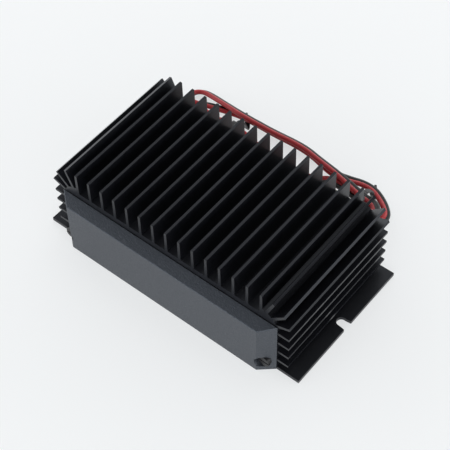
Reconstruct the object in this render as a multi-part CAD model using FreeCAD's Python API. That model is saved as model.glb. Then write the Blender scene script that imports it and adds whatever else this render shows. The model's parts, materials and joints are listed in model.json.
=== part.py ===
import FreeCAD
import Part
import math
import os

from FreeCAD import Vector

# Mobile HF linear amplifier: a finned aluminium tunnel on a flanged base plate, closed by a moulded
# front cap and a flat rear panel. Millimetres. X runs across the fins, Y from the front cap to the
# rear panel, Z up. The origin is midway between the two mounting notches, on the underside.

# Heat sink extrusion
SINK_LENGTH = 70.0
ROOF_THICKNESS = 3.4
TOP_FINS = 15
TOP_FIN_PITCH = 7.11
TOP_FIN_HEIGHT = 11.4
FIN_ROOT = 1.5
FIN_TIP = 1.2
FIN_SUNK = 1.0
SIDE_OUTSIDE_FINS = 8.53
SIDE_THICKNESS = 3.0
CORNER_RADIUS = 9.3
CORNER_CENTRE_DROP = 6.3
CORNER_FIN_HEIGHTS = (9.1, 8.4, 7.1)
SIDE_FINS = 4
SIDE_FIN_PITCH = 6.5
SIDE_FIN_HEIGHT = 5.9
FIRST_SIDE_FIN = 5.4
LAND_HALF_WIDTH = 26.0
LAND_THICKNESS = 4.0
FOOT_WIDTH = 8.8
FOOT_HEIGHT = 8.2
PORT_RADIUS = 1.3
PORT_WALL = 1.6
PORT_INSET = 3.9
LOWER_PORT_RISE = 4.55
UPPER_PORT_DROP = 4.4

# Base plate
PLATE_THICKNESS = 1.75
FLANGE_WIDTH = 5.7
NOTCH_WIDTH = 4.6
NOTCH_DEPTH = 5.5
NOTCH_FLARE = 0.7
BASE_SCREW_INSET = 1.8
BASE_SCREW_FROM_END = 8.0

# Screws: radius over the thread, head radius and height, and the clearance hole's radius
THREAD_RADIUS = 1.2
TAPPED_RADIUS = 1.25
TAPPED_SPARE = 0.4
HEAD_RADIUS = 2.75
HEAD_HEIGHT = 1.9
HEAD_SUNK = 0.2
HOLE_RADIUS = 1.6
SLOT_WIDTH = 0.7
SLOT_DEPTH = 0.8
CAP_SCREW_LENGTH = 10.0
PANEL_SCREW_LENGTH = 10.0
BASE_SCREW_LENGTH = 6.5
BOARD_SCREW_LENGTH = 7.0
TRANSISTOR_SCREW_LENGTH = 6.5

# Front cap
CAP_GAP = 0.3
CAP_DEPTH = 5.6
CAP_SIDE_OVERLAP = 0.2
CAP_SIDE_FALL = 6.4
CAP_TOP_OVERLAP = 0.2
CAP_TOP_FALL = 2.1
CAP_WALL = 1.8
CAP_EDGE_RADIUS = 0.5
CAP_POCKET_RADIUS = 3.5
CAP_POCKET_FLOOR = 1.6
CAP_BOSS_WALL = 1.2
CAP_TAB_REACH = 4.0
CAP_TAB_WIDTH = 12.0
CAP_TAB_THICKNESS = 1.6
CAP_TAB_CLEARANCE = 0.25
CAP_TAB_FROM_LAND = 12.0
CAP_SIDE_TAB_RISE = 14.75
CAP_SIDE_TAB_HEIGHT = 8.0

# Rear panel
PANEL_THICKNESS = 1.8
PANEL_SIDE_INSET = 0.1
PANEL_CORNER_RADIUS = 2.0

# Coaxial chassis sockets
SOCKET_X = 30.0
SOCKET_RISE = 9.45
SOCKET_FLANGE_RADIUS = 9.0
SOCKET_FLANGE_THICKNESS = 2.2
SOCKET_THREAD_RADIUS = 7.94
SOCKET_THREAD_LENGTH = 7.2
SOCKET_NECK_RADIUS = 6.0
SOCKET_NECK_LENGTH = 8.0
SOCKET_NECK_CLEARANCE = 0.1
SOCKET_MOUTH_RADIUS = 6.2
SOCKET_MOUTH_DEPTH = 5.6
SOCKET_BORE_RADIUS = 4.2
SOCKET_RIM_NOTCHES = 4
SOCKET_RIM_NOTCH = 0.9
INSULATOR_CLEARANCE = 0.05
INSULATOR_LIP = 1.2
CONTACT_RADIUS = 2.8
CONTACT_BORE_RADIUS = 2.0
CONTACT_BORE_DEPTH = 8.0
CONTACT_FLOOR = 1.1
CONTACT_RECESS = 0.6
CONTACT_PIN_RADIUS = 1.1
CONTACT_PIN_END = 5.5
NUT_ACROSS_FLATS = 16.5
NUT_THICKNESS = 2.6

# Share of the shorter run that a bend in a flexible wire takes
BEND_SHARE = 0.45

# Circuit board, hung from the roof on four standoffs; the sockets' pins lie just under it
BOARD_OVER_PINS = 0.1
BOARD_THICKNESS = 1.6
BOARD_FROM_FOOT = 1.7
BOARD_FROM_FRONT = 4.0
BOARD_FROM_BACK = 8.0
HEADROOM = 1.2
STANDOFF_INSET = 4.0
STANDOFF_ACROSS_FLATS = 5.5
STANDOFF_STUD_LENGTH = 2.4
STANDOFF_BORE_DEPTH = 8.0

# Power transistors
TRANSISTOR_X = 9.0
TRANSISTOR_BEHIND_CORE = 9.4
TRANSISTOR_WIDTH = 10.2
TRANSISTOR_LENGTH = 15.6
TRANSISTOR_BARE_TAB = 6.4
TRANSISTOR_TAB = 1.3
TRANSISTOR_DEPTH = 4.5
TRANSISTOR_HOLE_SHARE = 0.44
TRANSISTOR_LEAD_DROP = 2.6
TRANSISTOR_LEAD_OUT = 3.0
TRANSISTOR_LEAD_PITCH = 2.54
LEG_WIDTH = 0.8
LEG_THICKNESS = 0.5
PAD_THICKNESS = 0.3
PAD_MARGIN = 1.2

# Two-hole ferrite cores: width, length and height, hole radius and spacing, middle from a board edge
OUTPUT_CORE_SIZE = (26.0, 13.0, 10.0)
OUTPUT_CORE_HOLE = 2.8
OUTPUT_CORE_SPACING = 12.5
OUTPUT_CORE_FROM_FRONT = 12.5
INPUT_CORE_SIZE = (13.0, 8.0, 7.2)
INPUT_CORE_HOLE = 1.7
INPUT_CORE_SPACING = 6.2
INPUT_CORE_FROM_BACK = 7.5
CORE_EDGE_RADIUS = 1.8
SEAT_GAP = 0.2
TUBE_WALL = 0.4
TUBE_CLEARANCE = 0.1
TUBE_OVERHANG = 0.8
WINDING_TURNS = 2
WINDING_WIRE_RADIUS = 0.5
WINDING_CLEARANCE = 0.2

# Supply choke
CHOKE_FROM_EDGE = 12.8
CHOKE_FROM_FRONT = 16.0
CHOKE_OUTER_RADIUS = 8.5
CHOKE_INNER_RADIUS = 4.2
CHOKE_HEIGHT = 6.5
CHOKE_TURNS = 9
CHOKE_WIRE_RADIUS = 0.6
CHOKE_CHAMFER = 0.8

# Changeover relay
RELAY_FROM_LAND = 2.2
RELAY_Y = 1.0
RELAY_WIDTH = 12.6
RELAY_LENGTH = 28.0
RELAY_HEIGHT = 15.8
RELAY_WALL = 0.8
RELAY_BASE_THICKNESS = 2.0
RELAY_COIL_RADIUS = 4.0
RELAY_CORE_RADIUS = 1.8
RELAY_COIL_LENGTH = 14.0
RELAY_CHEEK_RADIUS = 4.6
RELAY_CHEEK_THICKNESS = 0.9
RELAY_IRON = 1.2
RELAY_IRON_WIDTH = 9.0
RELAY_POLE_GAP = 0.6
RELAY_HINGE_GAP = 0.25
RELAY_POLE_OUT = 0.5
RELAY_ARMATURE_DROP = 8.4
RELAY_LIP = 3.6
RELAY_CONTACT_WIDTH = 2.0
RELAY_CONTACT_THICKNESS = 0.3
RELAY_CONTACT_HEIGHT = 7.9
RELAY_CONTACT_FROM_WALL = 2.0

# Smaller parts on the board
ELECTROLYTIC_RADIUS = 5.0
ELECTROLYTIC_HEIGHT = 12.5
ELECTROLYTIC_CHAMFER = 0.4
CAN_BEHIND_CHOKE = 4.0
CAN_PITCH = 12.0
TRIMMER_X = 19.5
TRIMMER_FROM_BACK = 9.0
TRIMMER_RADIUS = 3.6
TRIMMER_HEIGHT = 3.0
TRIMMER_ROTOR_RADIUS = 2.6
TRIMMER_ROTOR_HEIGHT = 1.2
TRIMMER_SHAFT_RADIUS = 0.8
TRIMMER_SHAFT_CLEARANCE = 0.05
TRIMMER_ROTOR_GAP = 0.1
COILS_FROM_EDGE = 16.8
COILS_FROM_FRONT = 10.0
COILS = 3
COIL_PITCH = 8.4
COIL_RADIUS = 3.2
COIL_WIRE_RADIUS = 0.5
COIL_TURNS = 4
COIL_TURN_PITCH = 1.6
MICA_SIZE = (4.6, 2.2, 5.0)
MICA_FROM_FRONT = 3.0
MICA_XS = (-26.0, -20.0, 20.0, 26.0)
RESISTOR_RADIUS = 1.2
RESISTOR_LENGTH = 6.5
RESISTOR_WIRE_RADIUS = 0.3
RESISTOR_SPAN = 10.0
RESISTOR_LIFT = 1.4
RESISTOR_X = -20.5
RESISTOR_YS = (2.0, 6.5, 11.0, 15.5)
DRIVER_AT = (19.5, 8.0)
DRIVER_RADIUS = 2.3
DRIVER_HEIGHT = 4.6
DRIVER_LIFT = 2.0
DRIVER_FLAT = 1.3
DRIVER_LEG_RADIUS = 0.25

# Power lead: a bonded pair through a bush in the rear panel, folded into a tied hank
LEAD_X = 0.0
LEAD_RISE = 4.85
LEAD_RADIUS = 2.0
LEAD_BORE_CLEARANCE = 0.1
BUSH_NECK_RADIUS = 3.6
BUSH_FLANGE_RADIUS = 5.0
BUSH_FLANGE_THICKNESS = 1.5
BUSH_TAIL_RADIUS = 4.3
BUSH_TAIL_THICKNESS = 1.4
CORE_LEAD_RADIUS = 1.1
CORE_LEAD_GAP = 0.1
CORE_LEAD_RUN = 13.0
HANK_FROM_PANEL = 10.8
HANK_WIDTH = 23.4
HANK_LEFT = -71.5
HANK_RIGHT = 52.0
HANK_BOTTOM = 0.9
HANK_END_RADIUS = 8.0
TURN_WIDTH = 4.4
TURN_HEIGHT = 4.6
TURN_END_GAP = 7.0
BUNDLE_WIDTH = 9.0
BUNDLE_HEIGHT = 8.5
BUNDLE_FLAT_TOP = 5.7
BUNDLE_INSET = 5.0
TIE_XS = (-33.5, 38.0)
TIE_WIDTH = 3.6
TIE_THICKNESS = 0.8
TIE_HEAD = (4.4, 4.6, 3.6)
BARE_END_X = -47.0
BARE_END_RISE = 6.1
BARE_END_RADIUS = 0.8
BARE_END_LENGTH = 6.0

# Levels from the base plate up, and faces that follow from the sizes above
SOCKET_Z = PLATE_THICKNESS + SOCKET_RISE
BOARD_BOTTOM = SOCKET_Z + CONTACT_PIN_RADIUS + BOARD_OVER_PINS
BOARD_TOP = BOARD_BOTTOM + BOARD_THICKNESS
CEILING = BOARD_TOP + RELAY_HEIGHT + HEADROOM
LAND = CEILING - LAND_THICKNESS
ROOF_TOP = CEILING + ROOF_THICKNESS
SINK_HEIGHT = ROOF_TOP + TOP_FIN_HEIGHT
LOWER_PORT_Z = PLATE_THICKNESS + LOWER_PORT_RISE
UPPER_PORT_Z = CEILING - UPPER_PORT_DROP
FOOT_TOP = PLATE_THICKNESS + FOOT_HEIGHT
LEAD_Z = PLATE_THICKNESS + LEAD_RISE
LAST_FIN_X = (TOP_FINS - 1) / 2 * TOP_FIN_PITCH
SIDE_X = LAST_FIN_X + SIDE_OUTSIDE_FINS
INNER_X = SIDE_X - SIDE_THICKNESS
FOOT_X = SIDE_X - FOOT_WIDTH
PORT_X = SIDE_X - PORT_INSET
CORNER_X = SIDE_X - CORNER_RADIUS
CORNER_Z = ROOF_TOP - CORNER_CENTRE_DROP
PLATE_HALF_WIDTH = SIDE_X + SIDE_FIN_HEIGHT + FLANGE_WIDTH
FRONT = -SINK_LENGTH / 2
BACK = SINK_LENGTH / 2
CAP_RIM_Y = FRONT - CAP_GAP
CAP_FACE_Y = CAP_RIM_Y - CAP_DEPTH
CAP_RIM_HALF_WIDTH = SIDE_X + CAP_SIDE_OVERLAP
CAP_FACE_HALF_WIDTH = CAP_RIM_HALF_WIDTH - CAP_SIDE_FALL
CAP_RIM_HEIGHT = CEILING + CAP_TOP_OVERLAP
CAP_FACE_HEIGHT = CAP_RIM_HEIGHT - CAP_TOP_FALL
PANEL_BACK = BACK + PANEL_THICKNESS
PANEL_HALF_WIDTH = SIDE_X - PANEL_SIDE_INSET
BOARD_HALF_WIDTH = FOOT_X - BOARD_FROM_FOOT
BOARD_FRONT = FRONT + BOARD_FROM_FRONT
BOARD_BACK = BACK - BOARD_FROM_BACK
HANK_FRONT = PANEL_BACK + HANK_FROM_PANEL
HANK_BACK = HANK_FRONT + HANK_WIDTH
OUTPUT_CORE_Y = BOARD_FRONT + OUTPUT_CORE_FROM_FRONT
INPUT_CORE_Y = BOARD_BACK - INPUT_CORE_FROM_BACK
TRANSISTOR_FRONT = OUTPUT_CORE_Y + OUTPUT_CORE_SIZE[1] / 2 + TRANSISTOR_BEHIND_CORE
TRANSISTOR_BACK = TRANSISTOR_FRONT + TRANSISTOR_LENGTH
CHOKE_X = CHOKE_FROM_EDGE - BOARD_HALF_WIDTH
CHOKE_Y = BOARD_FRONT + CHOKE_FROM_FRONT
TRIMMER_Y = BOARD_BACK - TRIMMER_FROM_BACK
RELAY_X = LAND_HALF_WIDTH + RELAY_FROM_LAND + RELAY_WIDTH / 2
SIDES = (-1, 1)

X = Vector(1, 0, 0)
Y = Vector(0, 1, 0)
Z = Vector(0, 0, 1)


def block(x, y, z):
    """A box between two limits on each axis."""
    return Part.makeBox(x[1] - x[0], y[1] - y[0], z[1] - z[0], Vector(x[0], y[0], z[0]))


def centred_block(size, x, y, z):
    """A box of that size, centred on x and y, standing on z."""
    return block((x - size[0] / 2, x + size[0] / 2), (y - size[1] / 2, y + size[1] / 2), (z, z + size[2]))


def rod(radius, start, along):
    """A cylinder from a point along a vector."""
    return Part.makeCylinder(radius, along.Length, start, along)


def ring(outer, inner, start, along):
    """A tube from a point along a vector."""
    return rod(outer, start, along).cut(rod(inner, start, along))


def prism(points, along):
    """A polygon swept along a vector."""
    return Part.Face(Part.makePolygon(points + [points[0]])).extrude(along)


def profile_y(points, start, end):
    """A polygon of (x, z) points, swept from one y to another."""
    return prism([Vector(x, start, z) for x, z in points], Y * (end - start))


def hexagon(across_flats, start, along):
    """A hexagonal bar with a corner in the plane of its axis and X."""
    corner = across_flats / math.sqrt(3)
    turn = FreeCAD.Rotation(Z, along)
    angles = [math.radians(60 * i) for i in range(6)]
    corners = [turn.multVec(Vector(corner * math.cos(a), corner * math.sin(a), 0)) for a in angles]
    return prism([start + c for c in corners], along)


def mirrored(shape):
    """The shape on the other side of the amplifier."""
    return shape.mirror(Vector(0, 0, 0), X)


def both_sides(shape):
    """A shape and its mirror image, as two solids."""
    return [shape, mirrored(shape)]


def joined(shapes):
    """One clean solid of several that overlap or touch."""
    return shapes[0].fuse(shapes[1:]).removeSplitter()


def wire_path(points):
    """Straight runs joined by tangent arcs, each taking a share of the shorter of its two runs."""
    edges = []
    last = points[0]
    for before, corner, after in zip(points, points[1:], points[2:]):
        back, on = before - corner, after - corner
        setback = BEND_SHARE * min(back.Length, on.Length)
        start = corner + back.normalize() * setback
        end = corner + on.normalize() * setback
        half_turn = (math.pi - back.getAngle(on)) / 2
        radius = setback / math.tan(half_turn)
        bisector = (back + on).normalize()
        middle = corner + bisector * (radius / math.cos(half_turn) - radius)
        edges += [Part.LineSegment(last, start).toShape(), Part.Arc(start, middle, end).toShape()]
        last = end
    edges.append(Part.LineSegment(last, points[-1]).toShape())
    return Part.Wire(edges)


def wire(radius, points):
    """A round wire along a path of straight runs and arcs."""
    path = wire_path(points)
    disc = Part.Wire(Part.makeCircle(radius, points[0], points[1] - points[0]))
    return path.makePipeShell([disc], True, True)


def bent_wire(radius, points):
    """A six-sided wire of straight runs with mitred bends, for windings and component legs."""
    turn = FreeCAD.Rotation(Z, points[1] - points[0])
    angles = [math.radians(60 * i) for i in range(6)]
    corners = [points[0] + turn.multVec(Vector(math.cos(a), math.sin(a), 0) * radius) for a in angles]
    section = Part.makePolygon(corners + [corners[0]])
    return Part.Wire(Part.makePolygon(points)).makePipeShell([section], True, True, 1)


def pan_screw(head_seat, along, length):
    """A slotted pan-head screw: the head stands behind its seat, the thread runs along."""
    back = head_seat - along * HEAD_HEIGHT
    screw = rod(HEAD_RADIUS, back, along * HEAD_HEIGHT).fuse(rod(THREAD_RADIUS, head_seat, along * length))
    across = Z if abs(along.z) < 0.5 else X
    third = along.cross(across)
    corner = back - across * (SLOT_WIDTH / 2) - third * HEAD_RADIUS
    wide, deep = across * SLOT_WIDTH, along * SLOT_DEPTH
    slot = prism([corner, corner + wide, corner + wide + deep, corner + deep], third * (2 * HEAD_RADIUS))
    return screw.cut(slot)


def save(name, shapes):
    """Writes one node, which may hold several like solids."""
    shape = shapes[0] if len(shapes) == 1 else Part.makeCompound(shapes)
    shape.exportStep(f"parts/{name}.step")


def fin(root_x, root_z, lean, reach):
    """One tapered fin: it stands on its root point and leans from the vertical by an angle."""
    out = Vector(math.sin(lean), 0, math.cos(lean))
    across = Vector(math.cos(lean), 0, -math.sin(lean))
    root = Vector(root_x, FRONT, root_z) - out * FIN_SUNK
    tip = root + out * (reach + FIN_SUNK)
    corners = [
        root - across * (FIN_ROOT / 2),
        tip - across * (FIN_TIP / 2),
        tip + across * (FIN_TIP / 2),
        root + across * (FIN_ROOT / 2),
    ]
    return prism(corners, Y * SINK_LENGTH)


def heat_sink_fins():
    """Fins over the roof, fanned round the corners and along both sides."""
    fins = [
        fin((i - (TOP_FINS - 1) / 2) * TOP_FIN_PITCH, ROOF_TOP, 0, TOP_FIN_HEIGHT)
        for i in range(TOP_FINS)
    ]
    for i, height in enumerate(CORNER_FIN_HEIGHTS):
        lean = math.radians(90 * (i + 1) / (len(CORNER_FIN_HEIGHTS) + 1))
        root_x = CORNER_X + CORNER_RADIUS * math.sin(lean)
        root_z = CORNER_Z + CORNER_RADIUS * math.cos(lean)
        fins += both_sides(fin(root_x, root_z, lean, height))
    for i in range(SIDE_FINS):
        root_z = PLATE_THICKNESS + FIRST_SIDE_FIN + i * SIDE_FIN_PITCH
        fins += both_sides(fin(SIDE_X, root_z, math.pi / 2, SIDE_FIN_HEIGHT))
    return fins


def port_centres():
    """The middles of the screw ports that run the length of the extrusion."""
    return [(side * PORT_X, z) for side in SIDES for z in (LOWER_PORT_Z, UPPER_PORT_Z)]


def heat_sink():
    """The tunnel with its fins, screw ports, thick land for the transistors and tapped holes."""
    half_roof = block((0, LAST_FIN_X), (FRONT, BACK), (PLATE_THICKNESS, ROOF_TOP))
    half_side = block((0, SIDE_X), (FRONT, BACK), (PLATE_THICKNESS, CORNER_Z))
    corner = rod(CORNER_RADIUS, Vector(CORNER_X, FRONT, CORNER_Z), Y * SINK_LENGTH)
    beside_fin = block((LAST_FIN_X, SIDE_X), (FRONT, BACK), (CORNER_Z, SINK_HEIGHT))
    half = joined([half_roof, half_side, corner.common(beside_fin)])
    body = joined([half, mirrored(half)])
    outline = [
        (FOOT_X, PLATE_THICKNESS), (FOOT_X, FOOT_TOP), (INNER_X, FOOT_TOP),
        (INNER_X, CEILING), (LAND_HALF_WIDTH, CEILING), (LAND_HALF_WIDTH, LAND),
    ]
    hollow = profile_y(outline + [(-x, z) for x, z in reversed(outline)], FRONT, BACK)
    body = body.cut(hollow)
    length = Y * SINK_LENGTH
    bosses = [rod(PORT_RADIUS + PORT_WALL, Vector(x, FRONT, z), length) for x, z in port_centres()]
    body = joined([body] + bosses + heat_sink_fins())
    holes = [rod(PORT_RADIUS, Vector(x, FRONT, z), length) for x, z in port_centres()]
    base_hole = Z * (HEAD_SUNK + BASE_SCREW_LENGTH + TAPPED_SPARE - PLATE_THICKNESS)
    stud_hole = Z * (STANDOFF_STUD_LENGTH + TAPPED_SPARE)
    land_hole = Z * (TRANSISTOR_SCREW_LENGTH + TAPPED_SPARE - TRANSISTOR_TAB - PAD_THICKNESS)
    holes += [rod(TAPPED_RADIUS, Vector(x, y, PLATE_THICKNESS), base_hole) for x, y in base_screw_places()]
    holes += [rod(TAPPED_RADIUS, Vector(x, y, CEILING), stud_hole) for x, y in standoff_places()]
    holes += [rod(TAPPED_RADIUS, Vector(x, transistor_hole_y(), LAND), land_hole) for x in transistor_xs()]
    return body.cut(holes)


def base_screw_places():
    """Where the base plate is screwed to the extrusion's feet."""
    ends = (FRONT + BASE_SCREW_FROM_END, BACK - BASE_SCREW_FROM_END)
    return [(side * (FOOT_X + BASE_SCREW_INSET), y) for side in SIDES for y in ends]


def mounting_notch():
    """The open notch in one flange, with a round end and a flared mouth."""
    half = NOTCH_WIDTH / 2
    end_x = PLATE_HALF_WIDTH - NOTCH_DEPTH + half
    below = -PLATE_THICKNESS
    height = Z * (3 * PLATE_THICKNESS)
    round_end = rod(half, Vector(end_x, 0, below), height)
    mouth_x = PLATE_HALF_WIDTH - half
    outside = PLATE_HALF_WIDTH + half
    flare = half + NOTCH_FLARE
    slot = prism([Vector(x, y, below) for x, y in (
        (end_x, -half), (mouth_x, -half), (outside, -flare), (outside, flare), (mouth_x, half), (end_x, half)
    )], height)
    return joined([round_end, slot])


def base_plate():
    """The flanged plate that closes the tunnel and carries the mounting notches."""
    plate = block((-PLATE_HALF_WIDTH, PLATE_HALF_WIDTH), (FRONT, BACK), (0, PLATE_THICKNESS))
    cuts = both_sides(mounting_notch())
    for x, y in base_screw_places():
        foot = Vector(x, y, 0)
        cuts.append(rod(HOLE_RADIUS, foot, Z * PLATE_THICKNESS))
        cuts.append(Part.makeCone(HEAD_RADIUS, HOLE_RADIUS, HEAD_RADIUS - HOLE_RADIUS, foot, Z))
    return plate.cut(cuts)


def base_plate_screws():
    """Countersunk screws, their heads just inside the underside."""
    screws = []
    for x, y in base_screw_places():
        sunk = Vector(x, y, HEAD_SUNK)
        radius = HEAD_RADIUS - HEAD_SUNK
        head = Part.makeCone(radius, THREAD_RADIUS, radius - THREAD_RADIUS, sunk, Z)
        thread = rod(THREAD_RADIUS, sunk, Z * BASE_SCREW_LENGTH)
        slot = centred_block((SLOT_WIDTH, 2 * HEAD_RADIUS, SLOT_DEPTH), x, y, 0)
        screws.append(joined([head, thread]).cut(slot))
    return screws


def cap_body(inset):
    """The cap's outer form, or its hollow: chamfered corners and a sloping top, inset by a wall."""
    rim_x = CAP_RIM_HALF_WIDTH - inset
    face_x = CAP_FACE_HALF_WIDTH - inset / 2
    face_y = CAP_FACE_Y + inset
    rim_z = CAP_RIM_HEIGHT - inset
    face_z = CAP_FACE_HEIGHT - inset
    plan = [(-rim_x, CAP_RIM_Y), (rim_x, CAP_RIM_Y), (face_x, face_y), (-face_x, face_y)]
    footprint = prism([Vector(x, y, inset) for x, y in plan], Z * (rim_z - inset))
    side = [(CAP_RIM_Y, inset), (CAP_RIM_Y, rim_z), (face_y, face_z), (face_y, inset)]
    slope = prism([Vector(-rim_x, y, z) for y, z in side], X * (2 * rim_x))
    return footprint.common(slope)


def outer_edges(shape):
    """The edges of the cap's outer form that lie clear of its rim."""
    return [e for e in shape.Edges if min(v.Y for v in e.Vertexes) < CAP_RIM_Y - CAP_DEPTH / 2]


def front_cap():
    """The moulded cap: a shell with screw pockets in its chamfered corners and tabs into the tunnel."""
    outer = cap_body(0)
    rounded = outer.makeFillet(CAP_EDGE_RADIUS, outer_edges(outer))
    screw_places = [Vector(side * PORT_X, CAP_RIM_Y, LOWER_PORT_Z) for side in SIDES]
    bosses = [rod(CAP_POCKET_RADIUS + CAP_BOSS_WALL, p, Y * -CAP_DEPTH) for p in screw_places]
    shell = rounded.cut(cap_body(CAP_WALL).cut(bosses))
    pockets = [rod(CAP_POCKET_RADIUS, p - Y * CAP_POCKET_FLOOR, Y * -CAP_DEPTH) for p in screw_places]
    holes = [rod(HOLE_RADIUS, p, Y * -CAP_DEPTH) for p in screw_places]
    return joined([shell.cut(pockets + holes)] + cap_tabs())


def cap_tabs():
    """Tabs that locate the cap in the tunnel's mouth."""
    reach = (CAP_RIM_Y - CAP_WALL, FRONT + CAP_TAB_REACH)
    top = CEILING - CAP_TAB_CLEARANCE
    tab_x = LAND_HALF_WIDTH + CAP_TAB_FROM_LAND
    upper = block(
        (tab_x - CAP_TAB_WIDTH / 2, tab_x + CAP_TAB_WIDTH / 2), reach, (top - CAP_TAB_THICKNESS, top)
    )
    out = INNER_X - CAP_TAB_CLEARANCE
    tab_z = PLATE_THICKNESS + CAP_SIDE_TAB_RISE
    beside = block(
        (out - CAP_TAB_THICKNESS, out), reach,
        (tab_z - CAP_SIDE_TAB_HEIGHT / 2, tab_z + CAP_SIDE_TAB_HEIGHT / 2),
    )
    return both_sides(upper) + both_sides(beside)


def front_cap_screws():
    """Two pan-head screws, deep in the cap's pockets."""
    return [
        pan_screw(Vector(side * PORT_X, CAP_RIM_Y - CAP_POCKET_FLOOR, LOWER_PORT_Z), Y, CAP_SCREW_LENGTH)
        for side in SIDES
    ]


def rear_panel():
    """The flat plate that closes the back and carries the sockets and the lead's bush."""
    plate = block((-PANEL_HALF_WIDTH, PANEL_HALF_WIDTH), (BACK, PANEL_BACK), (0, CEILING))
    upright = [e for e in plate.Edges if abs(e.tangentAt(e.FirstParameter).y) > 0.9]
    plate = plate.makeFillet(PANEL_CORNER_RADIUS, [e for e in upright if e.Vertexes[0].Z > CEILING / 2])
    through = Y * PANEL_THICKNESS
    holes = [rod(HOLE_RADIUS, Vector(x, BACK, z), through) for x, z in port_centres()]
    socket_hole = SOCKET_NECK_RADIUS + SOCKET_NECK_CLEARANCE
    holes += [rod(socket_hole, Vector(side * SOCKET_X, BACK, SOCKET_Z), through) for side in SIDES]
    holes.append(rod(BUSH_NECK_RADIUS, Vector(LEAD_X, BACK, LEAD_Z), through))
    return plate.cut(holes)


def rear_panel_screws():
    """Four pan-head screws into the extrusion's ports."""
    return [pan_screw(Vector(x, PANEL_BACK, z), -Y, PANEL_SCREW_LENGTH) for x, z in port_centres()]


def socket_shell(x):
    """The threaded shell: a shoulder on the panel, an open mouth behind and a neck through the panel."""
    seat = Vector(x, PANEL_BACK, SOCKET_Z)
    rim_y = PANEL_BACK + SOCKET_FLANGE_THICKNESS + SOCKET_THREAD_LENGTH
    rim = Vector(x, rim_y, SOCKET_Z)
    shell = joined([
        rod(SOCKET_FLANGE_RADIUS, seat, Y * SOCKET_FLANGE_THICKNESS),
        rod(SOCKET_THREAD_RADIUS, seat, rim - seat),
        rod(SOCKET_NECK_RADIUS, seat, Y * -SOCKET_NECK_LENGTH),
    ])
    mouth = rod(SOCKET_MOUTH_RADIUS, rim, Y * -SOCKET_MOUTH_DEPTH)
    bore = rod(SOCKET_BORE_RADIUS, rim, Y * -(SOCKET_NECK_LENGTH + (rim - seat).Length))
    notch = block(
        (x - SOCKET_THREAD_RADIUS, x + SOCKET_THREAD_RADIUS),
        (rim_y - SOCKET_RIM_NOTCH, rim_y),
        (SOCKET_Z - SOCKET_RIM_NOTCH / 2, SOCKET_Z + SOCKET_RIM_NOTCH / 2),
    )
    notches = [
        notch.copy().rotate(rim, Y, 45 + i * 360 / SOCKET_RIM_NOTCHES) for i in range(SOCKET_RIM_NOTCHES // 2)
    ]
    return shell.cut([mouth, bore] + notches)


def socket_face_y():
    """Where the insulator's lip begins, at the bottom of the shell's mouth."""
    return PANEL_BACK + SOCKET_FLANGE_THICKNESS + SOCKET_THREAD_LENGTH - SOCKET_MOUTH_DEPTH


def contact_rim_y():
    """Where the centre contact ends, just inside the shell's rim."""
    return socket_face_y() + SOCKET_MOUTH_DEPTH - CONTACT_RECESS


def contact_step_y():
    """Where the wide part of the centre contact ends inside the insulator."""
    return contact_rim_y() - CONTACT_BORE_DEPTH - CONTACT_FLOOR


def socket_insulator(x):
    """The stepped insulator, with a lip in the mouth and a stepped bore for the contact."""
    back = PANEL_BACK - SOCKET_NECK_LENGTH
    lip_at = Vector(x, socket_face_y(), SOCKET_Z)
    barrel = rod(SOCKET_BORE_RADIUS - INSULATOR_CLEARANCE, lip_at, Y * (back - socket_face_y()))
    lip = rod(SOCKET_MOUTH_RADIUS - INSULATOR_CLEARANCE, lip_at, Y * INSULATOR_LIP)
    wide = rod(
        CONTACT_RADIUS + INSULATOR_CLEARANCE, Vector(x, contact_step_y(), SOCKET_Z), Y * SINK_LENGTH
    )
    narrow = rod(CONTACT_PIN_RADIUS + INSULATOR_CLEARANCE, Vector(x, back, SOCKET_Z), Y * SINK_LENGTH)
    return joined([barrel, lip]).cut([wide, narrow])


def socket_contact(x):
    """The centre contact: a blind tube for the plug's pin and a solder pin at the back."""
    step = Vector(x, contact_step_y(), SOCKET_Z)
    rim = Vector(x, contact_rim_y(), SOCKET_Z)
    tail = Vector(x, PANEL_BACK - SOCKET_NECK_LENGTH - CONTACT_PIN_END, SOCKET_Z)
    tube = rod(CONTACT_RADIUS, step, rim - step).cut(rod(CONTACT_BORE_RADIUS, rim, Y * -CONTACT_BORE_DEPTH))
    return joined([tube, rod(CONTACT_PIN_RADIUS, tail, step - tail)])


def socket_nut(x):
    """The hexagonal nut inside the panel."""
    seat = Vector(x, BACK, SOCKET_Z)
    bore = rod(SOCKET_NECK_RADIUS + SOCKET_NECK_CLEARANCE, seat, Y * -NUT_THICKNESS)
    return hexagon(NUT_ACROSS_FLATS, seat, Y * -NUT_THICKNESS).cut(bore)


def standoff_places():
    """Where the board hangs from the roof."""
    ends = (BOARD_FRONT + STANDOFF_INSET, BOARD_BACK - STANDOFF_INSET)
    return [(side * (BOARD_HALF_WIDTH - STANDOFF_INSET), y) for side in SIDES for y in ends]


def circuit_board():
    """The board, with its four screw holes and a hole for the trimmer's shaft."""
    board = block((-BOARD_HALF_WIDTH, BOARD_HALF_WIDTH), (BOARD_FRONT, BOARD_BACK), (BOARD_BOTTOM, BOARD_TOP))
    holes = [rod(HOLE_RADIUS, Vector(x, y, BOARD_BOTTOM), Z * BOARD_THICKNESS) for x, y in standoff_places()]
    below_trimmer = Vector(TRIMMER_X, TRIMMER_Y, BOARD_BOTTOM)
    holes.append(rod(TRIMMER_SHAFT_RADIUS * 2, below_trimmer, Z * BOARD_THICKNESS))
    return board.cut(holes)


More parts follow.
